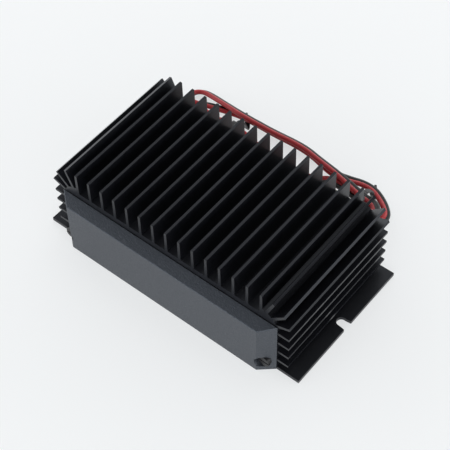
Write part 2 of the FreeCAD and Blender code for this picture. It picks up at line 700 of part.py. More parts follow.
def board_standoffs():
    """Hexagonal standoffs with a stud in the roof and a tapped bore below."""
    standoffs = []
    for x, y in standoff_places():
        foot = Vector(x, y, BOARD_TOP)
        bar = hexagon(STANDOFF_ACROSS_FLATS, foot, Z * (CEILING - BOARD_TOP))
        stud = rod(THREAD_RADIUS, Vector(x, y, CEILING), Z * STANDOFF_STUD_LENGTH)
        standoffs.append(joined([bar, stud]).cut(rod(TAPPED_RADIUS, foot, Z * STANDOFF_BORE_DEPTH)))
    return standoffs


def board_screws():
    """Pan-head screws up through the board."""
    return [pan_screw(Vector(x, y, BOARD_BOTTOM), Z, BOARD_SCREW_LENGTH) for x, y in standoff_places()]


def transistor_xs():
    """The two power transistors stand side by side under the land."""
    return [side * TRANSISTOR_X for side in SIDES]


def transistor_hole_y():
    """The screw's place in a transistor's tab."""
    return TRANSISTOR_BACK - TRANSISTOR_HOLE_SHARE * TRANSISTOR_BARE_TAB


def power_transistor(x):
    """A flat-tab transistor under the land, its three leads bent down to the board."""
    tab_top = LAND - PAD_THICKNESS
    wide = (x - TRANSISTOR_WIDTH / 2, x + TRANSISTOR_WIDTH / 2)
    front = TRANSISTOR_FRONT
    tab = block(wide, (front, TRANSISTOR_BACK), (tab_top - TRANSISTOR_TAB, tab_top))
    case_back = TRANSISTOR_BACK - TRANSISTOR_BARE_TAB
    case = block(wide, (front, case_back), (tab_top - TRANSISTOR_DEPTH, tab_top))
    leads = []
    lead_top = tab_top - TRANSISTOR_LEAD_DROP + LEG_THICKNESS / 2
    for i in (-1, 0, 1):
        lead_x = x + i * TRANSISTOR_LEAD_PITCH
        side = (lead_x - LEG_WIDTH / 2, lead_x + LEG_WIDTH / 2)
        bend = front - TRANSISTOR_LEAD_OUT
        leads.append(block(side, (bend, front + LEG_THICKNESS), (lead_top - LEG_THICKNESS, lead_top)))
        leads.append(block(side, (bend, bend + LEG_THICKNESS), (BOARD_TOP, lead_top)))
    body = joined([tab, case] + leads)
    return body.cut(rod(HOLE_RADIUS, Vector(x, transistor_hole_y(), tab_top), Z * -TRANSISTOR_TAB))


def transistor_pads():
    """Insulating pads between the transistors and the land."""
    pads = []
    for x in transistor_xs():
        half = TRANSISTOR_WIDTH / 2 + PAD_MARGIN
        long = (TRANSISTOR_FRONT - PAD_MARGIN, TRANSISTOR_BACK + PAD_MARGIN)
        pad = block((x - half, x + half), long, (LAND - PAD_THICKNESS, LAND))
        pads.append(pad.cut(rod(HOLE_RADIUS, Vector(x, transistor_hole_y(), LAND), Z * -PAD_THICKNESS)))
    return pads


def transistor_screws():
    """Pan-head screws up through the tabs into the land."""
    seat = LAND - PAD_THICKNESS - TRANSISTOR_TAB
    length = TRANSISTOR_SCREW_LENGTH
    return [pan_screw(Vector(x, transistor_hole_y(), seat), Z, length) for x in transistor_xs()]


def core_hole_centres(size, spacing, at):
    """The front ends of a two-hole core's holes."""
    z = BOARD_TOP + SEAT_GAP + size[2] / 2
    return [Vector(at[0] + side * spacing / 2, at[1] - size[1] / 2, z) for side in SIDES]


def two_hole_core(size, hole, spacing, at):
    """A ferrite block with two long holes side by side, its ends rounded like a pair of spectacles."""
    block_ = centred_block(size, at[0], at[1], BOARD_TOP + SEAT_GAP)
    long_edges = [e for e in block_.Edges if abs(e.tangentAt(e.FirstParameter).y) > 0.9]
    block_ = block_.makeFillet(CORE_EDGE_RADIUS, long_edges)
    return block_.cut([rod(hole, p, Y * size[1]) for p in core_hole_centres(size, spacing, at)])


def core_tubes(size, hole, spacing, at):
    """Brass tubes through the core, joined by a plate at the front end."""
    tubes = []
    outer = hole - TUBE_CLEARANCE
    overhang = Y * TUBE_OVERHANG
    for p in core_hole_centres(size, spacing, at):
        tubes.append(ring(outer, outer - TUBE_WALL, p - overhang * 2, Y * size[1] + overhang * 3))
    front = at[1] - size[1] / 2
    z = BOARD_TOP + SEAT_GAP + size[2] / 2
    half = spacing / 2 + hole + TUBE_WALL
    thick = (front - 2 * TUBE_OVERHANG, front - TUBE_OVERHANG)
    plate = block((at[0] - half, at[0] + half), thick, (z - hole, z + hole))
    bores = [rod(outer, p - overhang * 2, Y * size[1]) for p in core_hole_centres(size, spacing, at)]
    return joined([plate.cut(bores)] + tubes)


def core_winding(size, spacing, at):
    """Turns of insulated wire through both holes, one above the other, each open at the front."""
    wires = []
    z = BOARD_TOP + SEAT_GAP + size[2] / 2
    half_x = spacing / 2
    reach = size[1] / 2 + 2 * TUBE_OVERHANG + WINDING_WIRE_RADIUS + WINDING_CLEARANCE
    step = 2 * WINDING_WIRE_RADIUS + WINDING_CLEARANCE
    for i in range(WINDING_TURNS):
        level = z + (i - (WINDING_TURNS - 1) / 2) * step
        corners = [(-half_x, -reach), (half_x, -reach), (half_x, reach), (-half_x, reach)]
        start = Vector(at[0], at[1] - reach, level)
        points = [start] + [Vector(at[0] + x, at[1] + y, level) for x, y in corners[1:] + corners[:1]]
        wires.append(bent_wire(WINDING_WIRE_RADIUS, points + [start + X * -step]))
    return wires


def choke_bottom():
    """The ring core's underside, above the turns that lie on the board."""
    return BOARD_TOP + SEAT_GAP + 2 * CHOKE_WIRE_RADIUS + TUBE_CLEARANCE


def choke_core():
    """The supply choke's ring core, lying on the board."""
    foot = Vector(CHOKE_X, CHOKE_Y, choke_bottom())
    core = ring(CHOKE_OUTER_RADIUS, CHOKE_INNER_RADIUS, foot, Z * CHOKE_HEIGHT)
    return core.makeChamfer(CHOKE_CHAMFER, [e for e in core.Edges if len(e.Vertexes) == 1])


def choke_winding():
    """Turns round the ring core, each a rounded loop clear of the core."""
    gap = CHOKE_WIRE_RADIUS + TUBE_CLEARANCE
    low = choke_bottom() - gap
    high = low + CHOKE_HEIGHT + 2 * gap
    inner, outer = CHOKE_INNER_RADIUS - gap, CHOKE_OUTER_RADIUS + gap
    turns = []
    for i in range(CHOKE_TURNS):
        angle = 2 * math.pi * (i + 0.5) / (CHOKE_TURNS + 1)
        out = Vector(math.cos(angle), math.sin(angle), 0)
        middle = Vector(CHOKE_X, CHOKE_Y, 0)
        outline = [
            middle + out * ((inner + outer) / 2) + Z * low,
            middle + out * outer + Z * low,
            middle + out * outer + Z * high,
            middle + out * inner + Z * high,
            middle + out * inner + Z * low,
        ]
        turns.append(bent_wire(CHOKE_WIRE_RADIUS, outline + [outline[0] - out * CHOKE_WIRE_RADIUS]))
    return turns


def relay_span():
    """The relay's limits on X and Y."""
    return (
        (RELAY_X - RELAY_WIDTH / 2, RELAY_X + RELAY_WIDTH / 2),
        (RELAY_Y - RELAY_LENGTH / 2, RELAY_Y + RELAY_LENGTH / 2),
    )


def relay_axis_z():
    """The height of the coil's axis."""
    return BOARD_TOP + RELAY_BASE_THICKNESS + RELAY_CHEEK_RADIUS + SEAT_GAP


def relay_coil_front():
    """Where the coil's front cheek stands."""
    return RELAY_Y - RELAY_COIL_LENGTH / 2


def relay_yoke_bottom():
    """The underside of the yoke's top plate, over the coil's cheeks."""
    return relay_axis_z() + RELAY_CHEEK_RADIUS + SEAT_GAP


def relay_armature_face():
    """Where the armature's inner face stands in front of the pole."""
    return relay_coil_front() - RELAY_POLE_OUT - RELAY_POLE_GAP


def relay_hinge():
    """The armature's hinge line: the middle of the round nose on the yoke's top plate."""
    nose = RELAY_IRON / 2
    return Vector(RELAY_X, relay_armature_face() + RELAY_HINGE_GAP + nose, relay_yoke_bottom() + nose)


def relay_base():
    """The base that the relay's parts stand on."""
    x, y = relay_span()
    return block(x, y, (BOARD_TOP, BOARD_TOP + RELAY_BASE_THICKNESS))


def relay_coil():
    """The bobbin with its winding, bored for the iron core."""
    front = Vector(RELAY_X, relay_coil_front(), relay_axis_z())
    back = front + Y * (RELAY_COIL_LENGTH - RELAY_CHEEK_THICKNESS)
    cheek = Y * RELAY_CHEEK_THICKNESS
    spool = [rod(RELAY_CHEEK_RADIUS, front, cheek), rod(RELAY_CHEEK_RADIUS, back, cheek)]
    winding = rod(RELAY_COIL_RADIUS, front, Y * RELAY_COIL_LENGTH)
    bore = rod(RELAY_CORE_RADIUS + TUBE_CLEARANCE, front, Y * RELAY_COIL_LENGTH)
    return joined(spool + [winding]).cut(bore)


def relay_yoke():
    """The iron core through the coil and the angled yoke over it, riveted together at the back."""
    half = RELAY_IRON_WIDTH / 2
    wide = (RELAY_X - half, RELAY_X + half)
    front = relay_coil_front()
    coil_back = front + RELAY_COIL_LENGTH
    bottom = relay_yoke_bottom()
    hinge = relay_hinge()
    top = block(wide, (hinge.y, coil_back + RELAY_IRON), (bottom, bottom + RELAY_IRON))
    nose = rod(RELAY_IRON / 2, hinge - X * half, X * RELAY_IRON_WIDTH)
    back = block(wide, (coil_back, coil_back + RELAY_IRON), (BOARD_TOP + RELAY_BASE_THICKNESS, bottom))
    pole = Vector(RELAY_X, front - RELAY_POLE_OUT, relay_axis_z())
    core = rod(RELAY_CORE_RADIUS, pole, Y * (RELAY_COIL_LENGTH + RELAY_POLE_OUT))
    return joined([top, nose, back, core])


def relay_armature():
    """The armature: a plate hung before the yoke's round nose, with a lip over the yoke."""
    half = RELAY_IRON_WIDTH / 2
    wide = (RELAY_X - half, RELAY_X + half)
    face = (relay_armature_face() - RELAY_IRON, relay_armature_face())
    yoke_bottom = relay_yoke_bottom()
    lip_bottom = yoke_bottom + RELAY_IRON + RELAY_HINGE_GAP
    plate = block(wide, face, (yoke_bottom - RELAY_ARMATURE_DROP, lip_bottom + RELAY_IRON))
    lip = block(wide, (face[0], face[1] + RELAY_LIP), (lip_bottom, lip_bottom + RELAY_IRON))
    return joined([plate, lip])


def relay_contacts():
    """The fixed contact blades that stand on the base in front of the armature."""
    x, y = relay_span()
    blades = []
    for i in (-1, 0, 1):
        middle = RELAY_X + i * RELAY_IRON_WIDTH / 3
        size = (RELAY_CONTACT_WIDTH, RELAY_CONTACT_THICKNESS, RELAY_CONTACT_HEIGHT)
        at_y = y[0] + RELAY_WALL + RELAY_CONTACT_FROM_WALL
        blades.append(centred_block(size, middle, at_y, BOARD_TOP + RELAY_BASE_THICKNESS))
    return blades


def relay_cover():
    """The dust cover: a box open below, on the base."""
    x, y = relay_span()
    bottom = BOARD_TOP + RELAY_BASE_THICKNESS
    top = BOARD_TOP + RELAY_HEIGHT
    inside_x = (x[0] + RELAY_WALL, x[1] - RELAY_WALL)
    inside_y = (y[0] + RELAY_WALL, y[1] - RELAY_WALL)
    return block(x, y, (bottom, top)).cut(block(inside_x, inside_y, (bottom, top - RELAY_WALL)))


def supply_capacitors():
    """Two upright electrolytic capacitors in line with the choke."""
    cans = []
    first = CHOKE_Y + CHOKE_OUTER_RADIUS + CAN_BEHIND_CHOKE + ELECTROLYTIC_RADIUS
    for y in (first, first + CAN_PITCH):
        can = rod(ELECTROLYTIC_RADIUS, Vector(CHOKE_X, y, BOARD_TOP), Z * ELECTROLYTIC_HEIGHT)
        rims = [e for e in can.Edges if len(e.Vertexes) == 1]
        cans.append(can.makeChamfer(ELECTROLYTIC_CHAMFER, rims))
    return cans


def trimmer_body():
    """The trimmer capacitor's ceramic body, with the bore for its shaft."""
    foot = Vector(TRIMMER_X, TRIMMER_Y, BOARD_TOP)
    bore = TRIMMER_SHAFT_RADIUS + TRIMMER_SHAFT_CLEARANCE
    return ring(TRIMMER_RADIUS, bore, foot, Z * TRIMMER_HEIGHT)


def trimmer_rotor():
    """The trimmer's rotor: a slotted disc on a shaft."""
    disc_foot = Vector(TRIMMER_X, TRIMMER_Y, BOARD_TOP + TRIMMER_HEIGHT + TRIMMER_ROTOR_GAP)
    disc = rod(TRIMMER_ROTOR_RADIUS, disc_foot, Z * TRIMMER_ROTOR_HEIGHT)
    shaft = rod(TRIMMER_SHAFT_RADIUS, disc_foot, Z * -(TRIMMER_HEIGHT + TRIMMER_ROTOR_GAP))
    slot_z = disc_foot.z + TRIMMER_ROTOR_HEIGHT / 2
    slot_size = (SLOT_WIDTH, 3 * TRIMMER_ROTOR_RADIUS, TRIMMER_ROTOR_HEIGHT)
    slot = centred_block(slot_size, TRIMMER_X, TRIMMER_Y, slot_z)
    return joined([disc, shaft]).cut(slot)


def filter_coils():
    """Air-wound coils of the output filter, each a ridged tube with a ridge for each turn."""
    coils = []
    z = BOARD_TOP + COIL_RADIUS + COIL_WIRE_RADIUS
    start = BOARD_FRONT + COILS_FROM_FRONT - COIL_TURNS * COIL_TURN_PITCH / 2
    inner, crest = COIL_RADIUS - COIL_WIRE_RADIUS, COIL_RADIUS + COIL_WIRE_RADIUS
    for i in range(COILS):
        x = BOARD_HALF_WIDTH - COILS_FROM_EDGE + (i - (COILS - 1) / 2) * COIL_PITCH
        ridges = [
            (COIL_RADIUS if n % 2 == 0 else crest, start + n * COIL_TURN_PITCH / 2)
            for n in range(2 * COIL_TURNS + 1)
        ]
        outline = [(inner, ridges[0][1])] + ridges + [(inner, ridges[-1][1])]
        corners = [Vector(x + radius, y, z) for radius, y in outline]
        face = Part.Face(Part.makePolygon(corners + [corners[0]]))
        coils.append(face.revolve(Vector(x, 0, z), Y, 360))
    return coils


def mica_capacitors():
    """The filter's flat capacitors along the board's front edge."""
    return [centred_block(MICA_SIZE, x, BOARD_FRONT + MICA_FROM_FRONT, BOARD_TOP) for x in MICA_XS]


def bias_resistors():
    """Axial resistors, their leads bent down to the board."""
    resistors = []
    z = BOARD_TOP + RESISTOR_LIFT
    for y in RESISTOR_YS:
        half = RESISTOR_SPAN / 2
        leads = bent_wire(RESISTOR_WIRE_RADIUS, [
            Vector(RESISTOR_X - half, y, BOARD_TOP), Vector(RESISTOR_X - half, y, z),
            Vector(RESISTOR_X + half, y, z), Vector(RESISTOR_X + half, y, BOARD_TOP),
        ])
        body = rod(RESISTOR_RADIUS, Vector(RESISTOR_X - RESISTOR_LENGTH / 2, y, z), X * RESISTOR_LENGTH)
        resistors.append(joined([body, leads]))
    return resistors


def driver_transistor():
    """The small transistor that works the relay: a flatted cylinder on three legs."""
    x, y = DRIVER_AT
    foot = Vector(x, y, BOARD_TOP + DRIVER_LIFT)
    case = rod(DRIVER_RADIUS, foot, Z * DRIVER_HEIGHT)
    behind = (y + DRIVER_FLAT, y + DRIVER_RADIUS)
    flat = block((x - DRIVER_RADIUS, x + DRIVER_RADIUS), behind, (foot.z, foot.z + DRIVER_HEIGHT))
    feet = [Vector(x + i * DRIVER_FLAT, y, BOARD_TOP) for i in (-1, 0, 1)]
    return joined([case.cut(flat)] + [rod(DRIVER_LEG_RADIUS, f, Z * DRIVER_HEIGHT) for f in feet])


def lead_bush():
    """The strain-relief bush in the rear panel, with a flange on each side of it."""
    outside = Vector(LEAD_X, PANEL_BACK, LEAD_Z)
    inside = Vector(LEAD_X, BACK, LEAD_Z)
    body = joined([
        rod(BUSH_FLANGE_RADIUS, outside, Y * BUSH_FLANGE_THICKNESS),
        rod(BUSH_NECK_RADIUS, inside, Y * PANEL_THICKNESS),
        rod(BUSH_TAIL_RADIUS, inside, Y * -BUSH_TAIL_THICKNESS),
    ])
    whole = Y * (PANEL_THICKNESS + BUSH_FLANGE_THICKNESS + BUSH_TAIL_THICKNESS)
    return body.cut(rod(LEAD_RADIUS + LEAD_BORE_CLEARANCE, inside - Y * BUSH_TAIL_THICKNESS, whole))


def power_lead():
    """The lead from inside the panel to the hank."""
    start = Vector(LEAD_X, BACK - BUSH_TAIL_THICKNESS, LEAD_Z)
    run = Y * (HANK_FRONT - start.y)
    tube = rod(LEAD_RADIUS, start, run)
    section = math.pi * LEAD_RADIUS ** 2
    print(f"power_lead: one straight run of {run.Length:.1f} mm, volume / (section x length)", end=" ")
    print(f"{tube.Volume / (section * run.Length):.4f}")
    return tube


def lead_core(side):
    """One core of the lead inside the amplifier, bent up to the underside of the board."""
    x = LEAD_X + side * (CORE_LEAD_RADIUS + CORE_LEAD_GAP / 2)
    start = Vector(x, BACK - BUSH_TAIL_THICKNESS, LEAD_Z)
    below = start - Y * CORE_LEAD_RUN
    return wire(CORE_LEAD_RADIUS, [start, below, Vector(x, below.y, BOARD_BOTTOM)])


def bundle_section(x):
    """The section of the hank's bundle, which falls away towards the loose turn."""
    top = HANK_BOTTOM + BUNDLE_HEIGHT
    back = HANK_FRONT + BUNDLE_WIDTH
    points = [
        (HANK_FRONT, HANK_BOTTOM), (back, HANK_BOTTOM), (back, HANK_BOTTOM + TURN_HEIGHT),
        (HANK_FRONT + BUNDLE_FLAT_TOP, top), (HANK_FRONT, top),
    ]
    corners = [Vector(x, y, z) for y, z in points]
    return Part.Face(Part.makePolygon(corners + [corners[0]]))


def rounded_bar(radius, x, y, height):
    """A bar on the hank's underside, with its upright edges rounded."""
    bar = block(x, y, (HANK_BOTTOM, HANK_BOTTOM + height))
    return bar.makeFillet(radius, [e for e in bar.Edges if abs(e.tangentAt(e.FirstParameter).z) > 0.9])


def lead_hank():
    """The folded lead's outer form: a tied bundle, with one loose turn beside it."""
    turn = rounded_bar(HANK_END_RADIUS, (HANK_LEFT, HANK_RIGHT), (HANK_FRONT, HANK_BACK), TURN_HEIGHT)
    gap_y = (HANK_FRONT + BUNDLE_WIDTH, HANK_BACK - TURN_WIDTH)
    gap_end = (gap_y[1] - gap_y[0]) / 2 - CORE_LEAD_GAP
    gap = rounded_bar(gap_end, (HANK_LEFT + TURN_END_GAP, HANK_RIGHT - TURN_END_GAP), gap_y, TURN_HEIGHT)
    ends = (HANK_LEFT + BUNDLE_INSET, HANK_RIGHT - BUNDLE_INSET)
    bundle_y = (HANK_FRONT, HANK_FRONT + BUNDLE_WIDTH)
    bar = rounded_bar(HANK_END_RADIUS - BUNDLE_INSET, ends, bundle_y, BUNDLE_HEIGHT)
    bundle = bar.common(bundle_section(ends[0]).extrude(X * (ends[1] - ends[0])))
    return joined([turn.cut(gap), bundle])


def lead_tie(x):
    """A tie round the bundle, with its head on top."""
    section = bundle_section(x - TIE_WIDTH / 2)
    band = section.makeOffset2D(TIE_THICKNESS).extrude(X * TIE_WIDTH).cut(section.extrude(X * TIE_WIDTH))
    top = HANK_BOTTOM + BUNDLE_HEIGHT + TIE_THICKNESS
    return joined([band, centred_block(TIE_HEAD, x, HANK_FRONT + BUNDLE_FLAT_TOP - TIE_HEAD[1] / 4, top)])


def lead_bare_ends():
    """The lead's two tinned ends, out of the front of the hank near its top."""
    z = HANK_BOTTOM + BARE_END_RISE
    pitch = 2 * CORE_LEAD_RADIUS + CORE_LEAD_GAP
    starts = [Vector(BARE_END_X + side * pitch / 2, HANK_FRONT, z) for side in SIDES]
    return [rod(BARE_END_RADIUS, start, Y * -BARE_END_LENGTH) for start in starts]


def build():
    os.makedirs("parts", exist_ok=True)
    save("heat_sink", [heat_sink()])
    save("base_plate", [base_plate()])
    save("base_plate_screws", base_plate_screws())
    save("front_cap", [front_cap()])
    save("front_cap_screws", front_cap_screws())
    save("rear_panel", [rear_panel()])
    save("rear_panel_screws", rear_panel_screws())
    for name, x in (("input_socket", -SOCKET_X), ("output_socket", SOCKET_X)):
        save(f"{name}_shell", [socket_shell(x)])
        save(f"{name}_insulator", [socket_insulator(x)])
        save(f"{name}_contact", [socket_contact(x)])
        save(f"{name}_nut", [socket_nut(x)])
    save("circuit_board", [circuit_board()])
    save("board_standoffs", board_standoffs())
    save("board_screws", board_screws())
    for name, x in zip(("power_transistor_left", "power_transistor_right"), transistor_xs()):
        save(name, [power_transistor(x)])
    save("transistor_pads", transistor_pads())
    save("transistor_screws", transistor_screws())
    output_core = (OUTPUT_CORE_SIZE, OUTPUT_CORE_HOLE, OUTPUT_CORE_SPACING, (0, OUTPUT_CORE_Y))
    input_core = (INPUT_CORE_SIZE, INPUT_CORE_HOLE, INPUT_CORE_SPACING, (0, INPUT_CORE_Y))
    for name, core in (("output_transformer", output_core), ("input_transformer", input_core)):
        size, hole, spacing, at = core
        save(f"{name}_core", [two_hole_core(*core)])
        save(f"{name}_winding", core_winding(size, spacing, at))
    save("output_transformer_tubes", [core_tubes(*output_core)])
    save("supply_choke_core", [choke_core()])
    save("supply_choke_winding", choke_winding())
    save("relay_base", [relay_base()])
    save("relay_coil", [relay_coil()])
    save("relay_yoke", [relay_yoke()])
    save("relay_armature", [relay_armature()])
    save("relay_contacts", relay_contacts())
    save("relay_cover", [relay_cover()])
    save("supply_capacitors", supply_capacitors())
    save("trimmer_body", [trimmer_body()])
    save("trimmer_rotor", [trimmer_rotor()])
    save("filter_coils", filter_coils())
    save("mica_capacitors", mica_capacitors())
    save("bias_resistors", bias_resistors())
    save("driver_transistor", [driver_transistor()])
    save("lead_bush", [lead_bush()])
    save("power_lead", [power_lead()])
    save("lead_core_red", [lead_core(-1)])
    save("lead_core_black", [lead_core(1)])
    save("lead_hank", [lead_hank()])
    save("lead_tie_left", [lead_tie(TIE_XS[0])])
    save("lead_tie_right", [lead_tie(TIE_XS[1])])
    save("lead_bare_ends", lead_bare_ends())


build()
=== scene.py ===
import json
import math

import bpy
import numpy as np
from mathutils import Matrix, Vector


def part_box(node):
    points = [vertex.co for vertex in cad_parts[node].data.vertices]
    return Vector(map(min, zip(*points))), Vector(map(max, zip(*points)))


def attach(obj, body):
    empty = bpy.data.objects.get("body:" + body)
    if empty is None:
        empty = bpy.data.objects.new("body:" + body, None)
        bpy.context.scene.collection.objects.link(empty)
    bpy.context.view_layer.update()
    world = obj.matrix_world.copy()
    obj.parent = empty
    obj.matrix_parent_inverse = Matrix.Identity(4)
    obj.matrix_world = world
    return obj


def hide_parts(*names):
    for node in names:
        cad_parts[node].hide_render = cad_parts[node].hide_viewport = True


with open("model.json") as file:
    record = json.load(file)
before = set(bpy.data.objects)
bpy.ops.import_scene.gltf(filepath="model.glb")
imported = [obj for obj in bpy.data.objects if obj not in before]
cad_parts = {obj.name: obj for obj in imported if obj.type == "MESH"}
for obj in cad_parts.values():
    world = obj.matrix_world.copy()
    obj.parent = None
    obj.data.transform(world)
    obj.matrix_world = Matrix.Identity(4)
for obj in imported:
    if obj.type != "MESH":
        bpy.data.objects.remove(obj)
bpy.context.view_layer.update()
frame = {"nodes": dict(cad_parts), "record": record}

MM = 0.001
FULL_TURN = 2 * math.pi


# ---------------------------------------------------------------- meshes

def put_mesh(name, points, faces, material, uvs=None):
    """A mesh object at the origin from arrays of points and of quads, with one UV per corner if any."""
    mesh = bpy.data.meshes.new(name)
    mesh.vertices.add(len(points))
    mesh.vertices.foreach_set("co", np.asarray(points, np.float32).ravel())
    faces = np.asarray(faces, np.int32)
    mesh.loops.add(faces.size)
    mesh.loops.foreach_set("vertex_index", faces.ravel())
    mesh.polygons.add(len(faces))
    mesh.polygons.foreach_set("loop_start", np.arange(len(faces), dtype=np.int32) * faces.shape[1])
    mesh.polygons.foreach_set("use_smooth", np.ones(len(faces), bool))
    if uvs is not None:
        mesh.uv_layers.new(name="around").data.foreach_set("uv", np.asarray(uvs, np.float32).ravel())
    mesh.materials.append(material)
    mesh.update()
    mesh.validate()
    piece = bpy.data.objects.new(name, mesh)
    bpy.context.scene.collection.objects.link(piece)
    return piece


def tube_faces(rings, around):
    """Quads between each ring of a tube and the next, ring after ring."""
    ring = np.arange(rings - 1)[:, None] * around
    k = np.arange(around)[None, :]
    after = (k + 1) % around
    quads = np.stack([ring + k, ring + after, ring + around + after, ring + around + k], -1)
    return quads.reshape(-1, 4)


def tube_mesh(rings_of_points, closed):
    """Points and quads of a tube from its rings. A closed tube's last ring joins its first; an open tube's
    ends are closed by quads across them."""
    rings, around = rings_of_points.shape[:2]
    points = rings_of_points.reshape(-1, 3)
    if closed:
        return points, tube_faces(rings + 1, around) % (rings * around)
    faces = [tube_faces(rings, around)]
    for first in (0, (rings - 1) * around):
        j = np.arange(around // 2 - 1)
        cap = np.stack([first + j, first + j + 1, first + around - 2 - j, first + around - 1 - j], -1)
        faces.append(cap if first else cap[:, ::-1])
    return points, np.concatenate(faces)


def joined_meshes(parts):
    """One array of points and one of quads from several."""
    points, faces, count = [], [], 0
    for p, f in parts:
        points.append(p)
        faces.append(f + count)
        count += len(p)
    return np.concatenate(points), np.concatenate(faces)


def signed_power(value, power):
    """The value's size raised to the power, with the value's own sign."""
    return np.sign(value) * np.abs(value) ** power


def spline(points, name):
    """The points along one open NURBS spline of order 3 that has these control points."""
    curve = bpy.data.curves.new(name, "CURVE")
    curve.dimensions = "3D"
    curve.resolution_u = 10
    line = curve.splines.new("NURBS")
    line.points.add(len(points) - 1)
    line.points.foreach_set("co", np.c_[points, np.ones(len(points))].ravel())
    line.order_u = 3
    line.use_endpoint_u = True
    holder = bpy.data.objects.new(name, curve)
    mesh = bpy.data.meshes.new_from_object(holder)
    found = np.zeros(len(mesh.vertices) * 3)
    mesh.vertices.foreach_get("co", found)
    bpy.data.objects.remove(holder)
    bpy.data.meshes.remove(mesh)
    return found.reshape(-1, 3)


# ---------------------------------------------------------------- shader maths

# Sockets of a Mix node in its colour mode: both colours, and the result.
MIX_FIRST, MIX_SECOND, MIX_RESULT = 6, 7, 2
NOISE_ROUGHNESS = 0.55


class Wire:
    """One output socket of a node tree. Arithmetic on it adds Math nodes."""

    def __init__(self, finish, socket):
        self.finish = finish
        self.socket = socket

    def maths(self, operation, *values):
        return self.finish.add("ShaderNodeMath", {"operation": operation}, dict(enumerate(values)))

    def __add__(self, other):
        return self.maths("ADD", self, other)

    def __radd__(self, other):
        return self.maths("ADD", other, self)

    def __rsub__(self, other):
        return self.maths("SUBTRACT", other, self)

    def __mul__(self, other):
        return self.maths("MULTIPLY", self, other)

    def sine(self):
        return self.maths("SINE", self)

    def between(self, low, high):
        """0 below one value, 1 above the other, smooth in the middle."""
        return self.finish.add("ShaderNodeMapRange", {"interpolation_type": "SMOOTHSTEP"}, {
            "Value": self, "From Min": low, "From Max": high, "To Min": 0.0, "To Max": 1.0,
        })


class Shading:
    """A node tree under construction."""

    def __init__(self, tree):
        self.tree = tree

    def add(self, kind, settings=None, sockets=None, output=0):
        """Any node: its type, its settings (set first), then the values or links of its sockets."""
        node = self.tree.nodes.new(kind)
        for name, value in (settings or {}).items():
            setattr(node, name, value)
        for name, value in (sockets or {}).items():
            self.plug(node.inputs[name], value)
        return Wire(self, node.outputs[output])

    def plug(self, socket, value):
        """Links a wire to a socket, or sets its constant. A colour of three numbers gets an alpha of 1."""
        if isinstance(value, Wire):
            self.tree.links.new(value.socket, socket)
        elif socket.type == "RGBA" and len(value) == 3:
            socket.default_value = (*value, 1.0)
        else:
            socket.default_value = value


class Finish(Shading):
    """A procedural material of the object."""

    def __init__(self, name):
        self.material = bpy.data.materials.new(name)
        self.material.use_nodes = True
        super().__init__(self.material.node_tree)
        self.shader = self.tree.nodes["Principled BSDF"]

    def place(self, stretch=(1.0, 1.0, 1.0)):
        """Object coordinates in metres, stretched along the axes."""
        where = self.add("ShaderNodeTexCoord", output="Object")
        return self.add("ShaderNodeVectorMath", {"operation": "MULTIPLY"}, {0: where, 1: stretch})

    def noise(self, scale, stretch=(1.0, 1.0, 1.0), detail=3.0):
        """Noise with so many waves to the metre."""
        return self.add("ShaderNodeTexNoise", None, {
            "Vector": self.place(stretch), "Scale": scale, "Detail": detail, "Roughness": NOISE_ROUGHNESS,
        })

    def cells(self, scale):
        """The distance to the nearest of scattered points, so many to the metre each way."""
        return self.add("ShaderNodeTexVoronoi", None, {"Vector": self.place(), "Scale": scale})

    def axis(self, name):
        """One coordinate of the place, in metres."""
        where = self.add("ShaderNodeTexCoord", output="Object")
        return self.add("ShaderNodeSeparateXYZ", None, {0: where}, name)

    def blend(self, factor, first, second):
        """From the first colour to the second, as the factor goes from 0 to 1."""
        node = self.tree.nodes.new("ShaderNodeMix")
        node.data_type = "RGBA"
        self.plug(node.inputs["Factor"], factor)
        self.plug(node.inputs[MIX_FIRST], first)
        self.plug(node.inputs[MIX_SECOND], second)
        return Wire(self, node.outputs[MIX_RESULT])

    def bump(self, height, depth):
        """Relief of so many metres for a height that goes from 0 to 1."""
        return self.add("ShaderNodeBump", None, {"Height": height, "Distance": depth})

    def done(self, constants=None, **inputs):
        """Connects what varies, sets what is the same all over, and gives the material."""
        for name, value in inputs.items():
            self.plug(self.shader.inputs[name.replace("_", " ")], value)
        for name, value in (constants or {}).items():
            self.plug(self.shader.inputs[name], value)
        return self.material


# ---------------------------------------------------------------- finishes

DUST = (0.1, 0.1, 0.1)
CAP_DUST = (0.05, 0.05, 0.056)
COOL_TINT = (0.86, 0.91, 1.0)
CAP_TINT = (0.78, 0.87, 1.0)
BLACK_PVC = ((0.012, 0.0135, 0.0135), (0.026, 0.028, 0.028))
BLACK_RUBBER = ((0.011, 0.011, 0.012), (0.024, 0.024, 0.026))
# Waves of a sine, in radians to the metre: threads of glass cloth, turns of wire, twist of strands.
CLOTH_WAVES = 7000
TURNS_ALONG_X, TURNS_ALONG_Y = 5200, 2600
TWIST_WAVES = 16000
TWIST_SLANT = 0.25
# The sheath's u and v in the noise of its streaks, and the narrow change from red to black over v.
STREAK_STRETCH = (0.06, 9.0, 1.0)
RED_END, BLACK_START = 0.497, 0.503

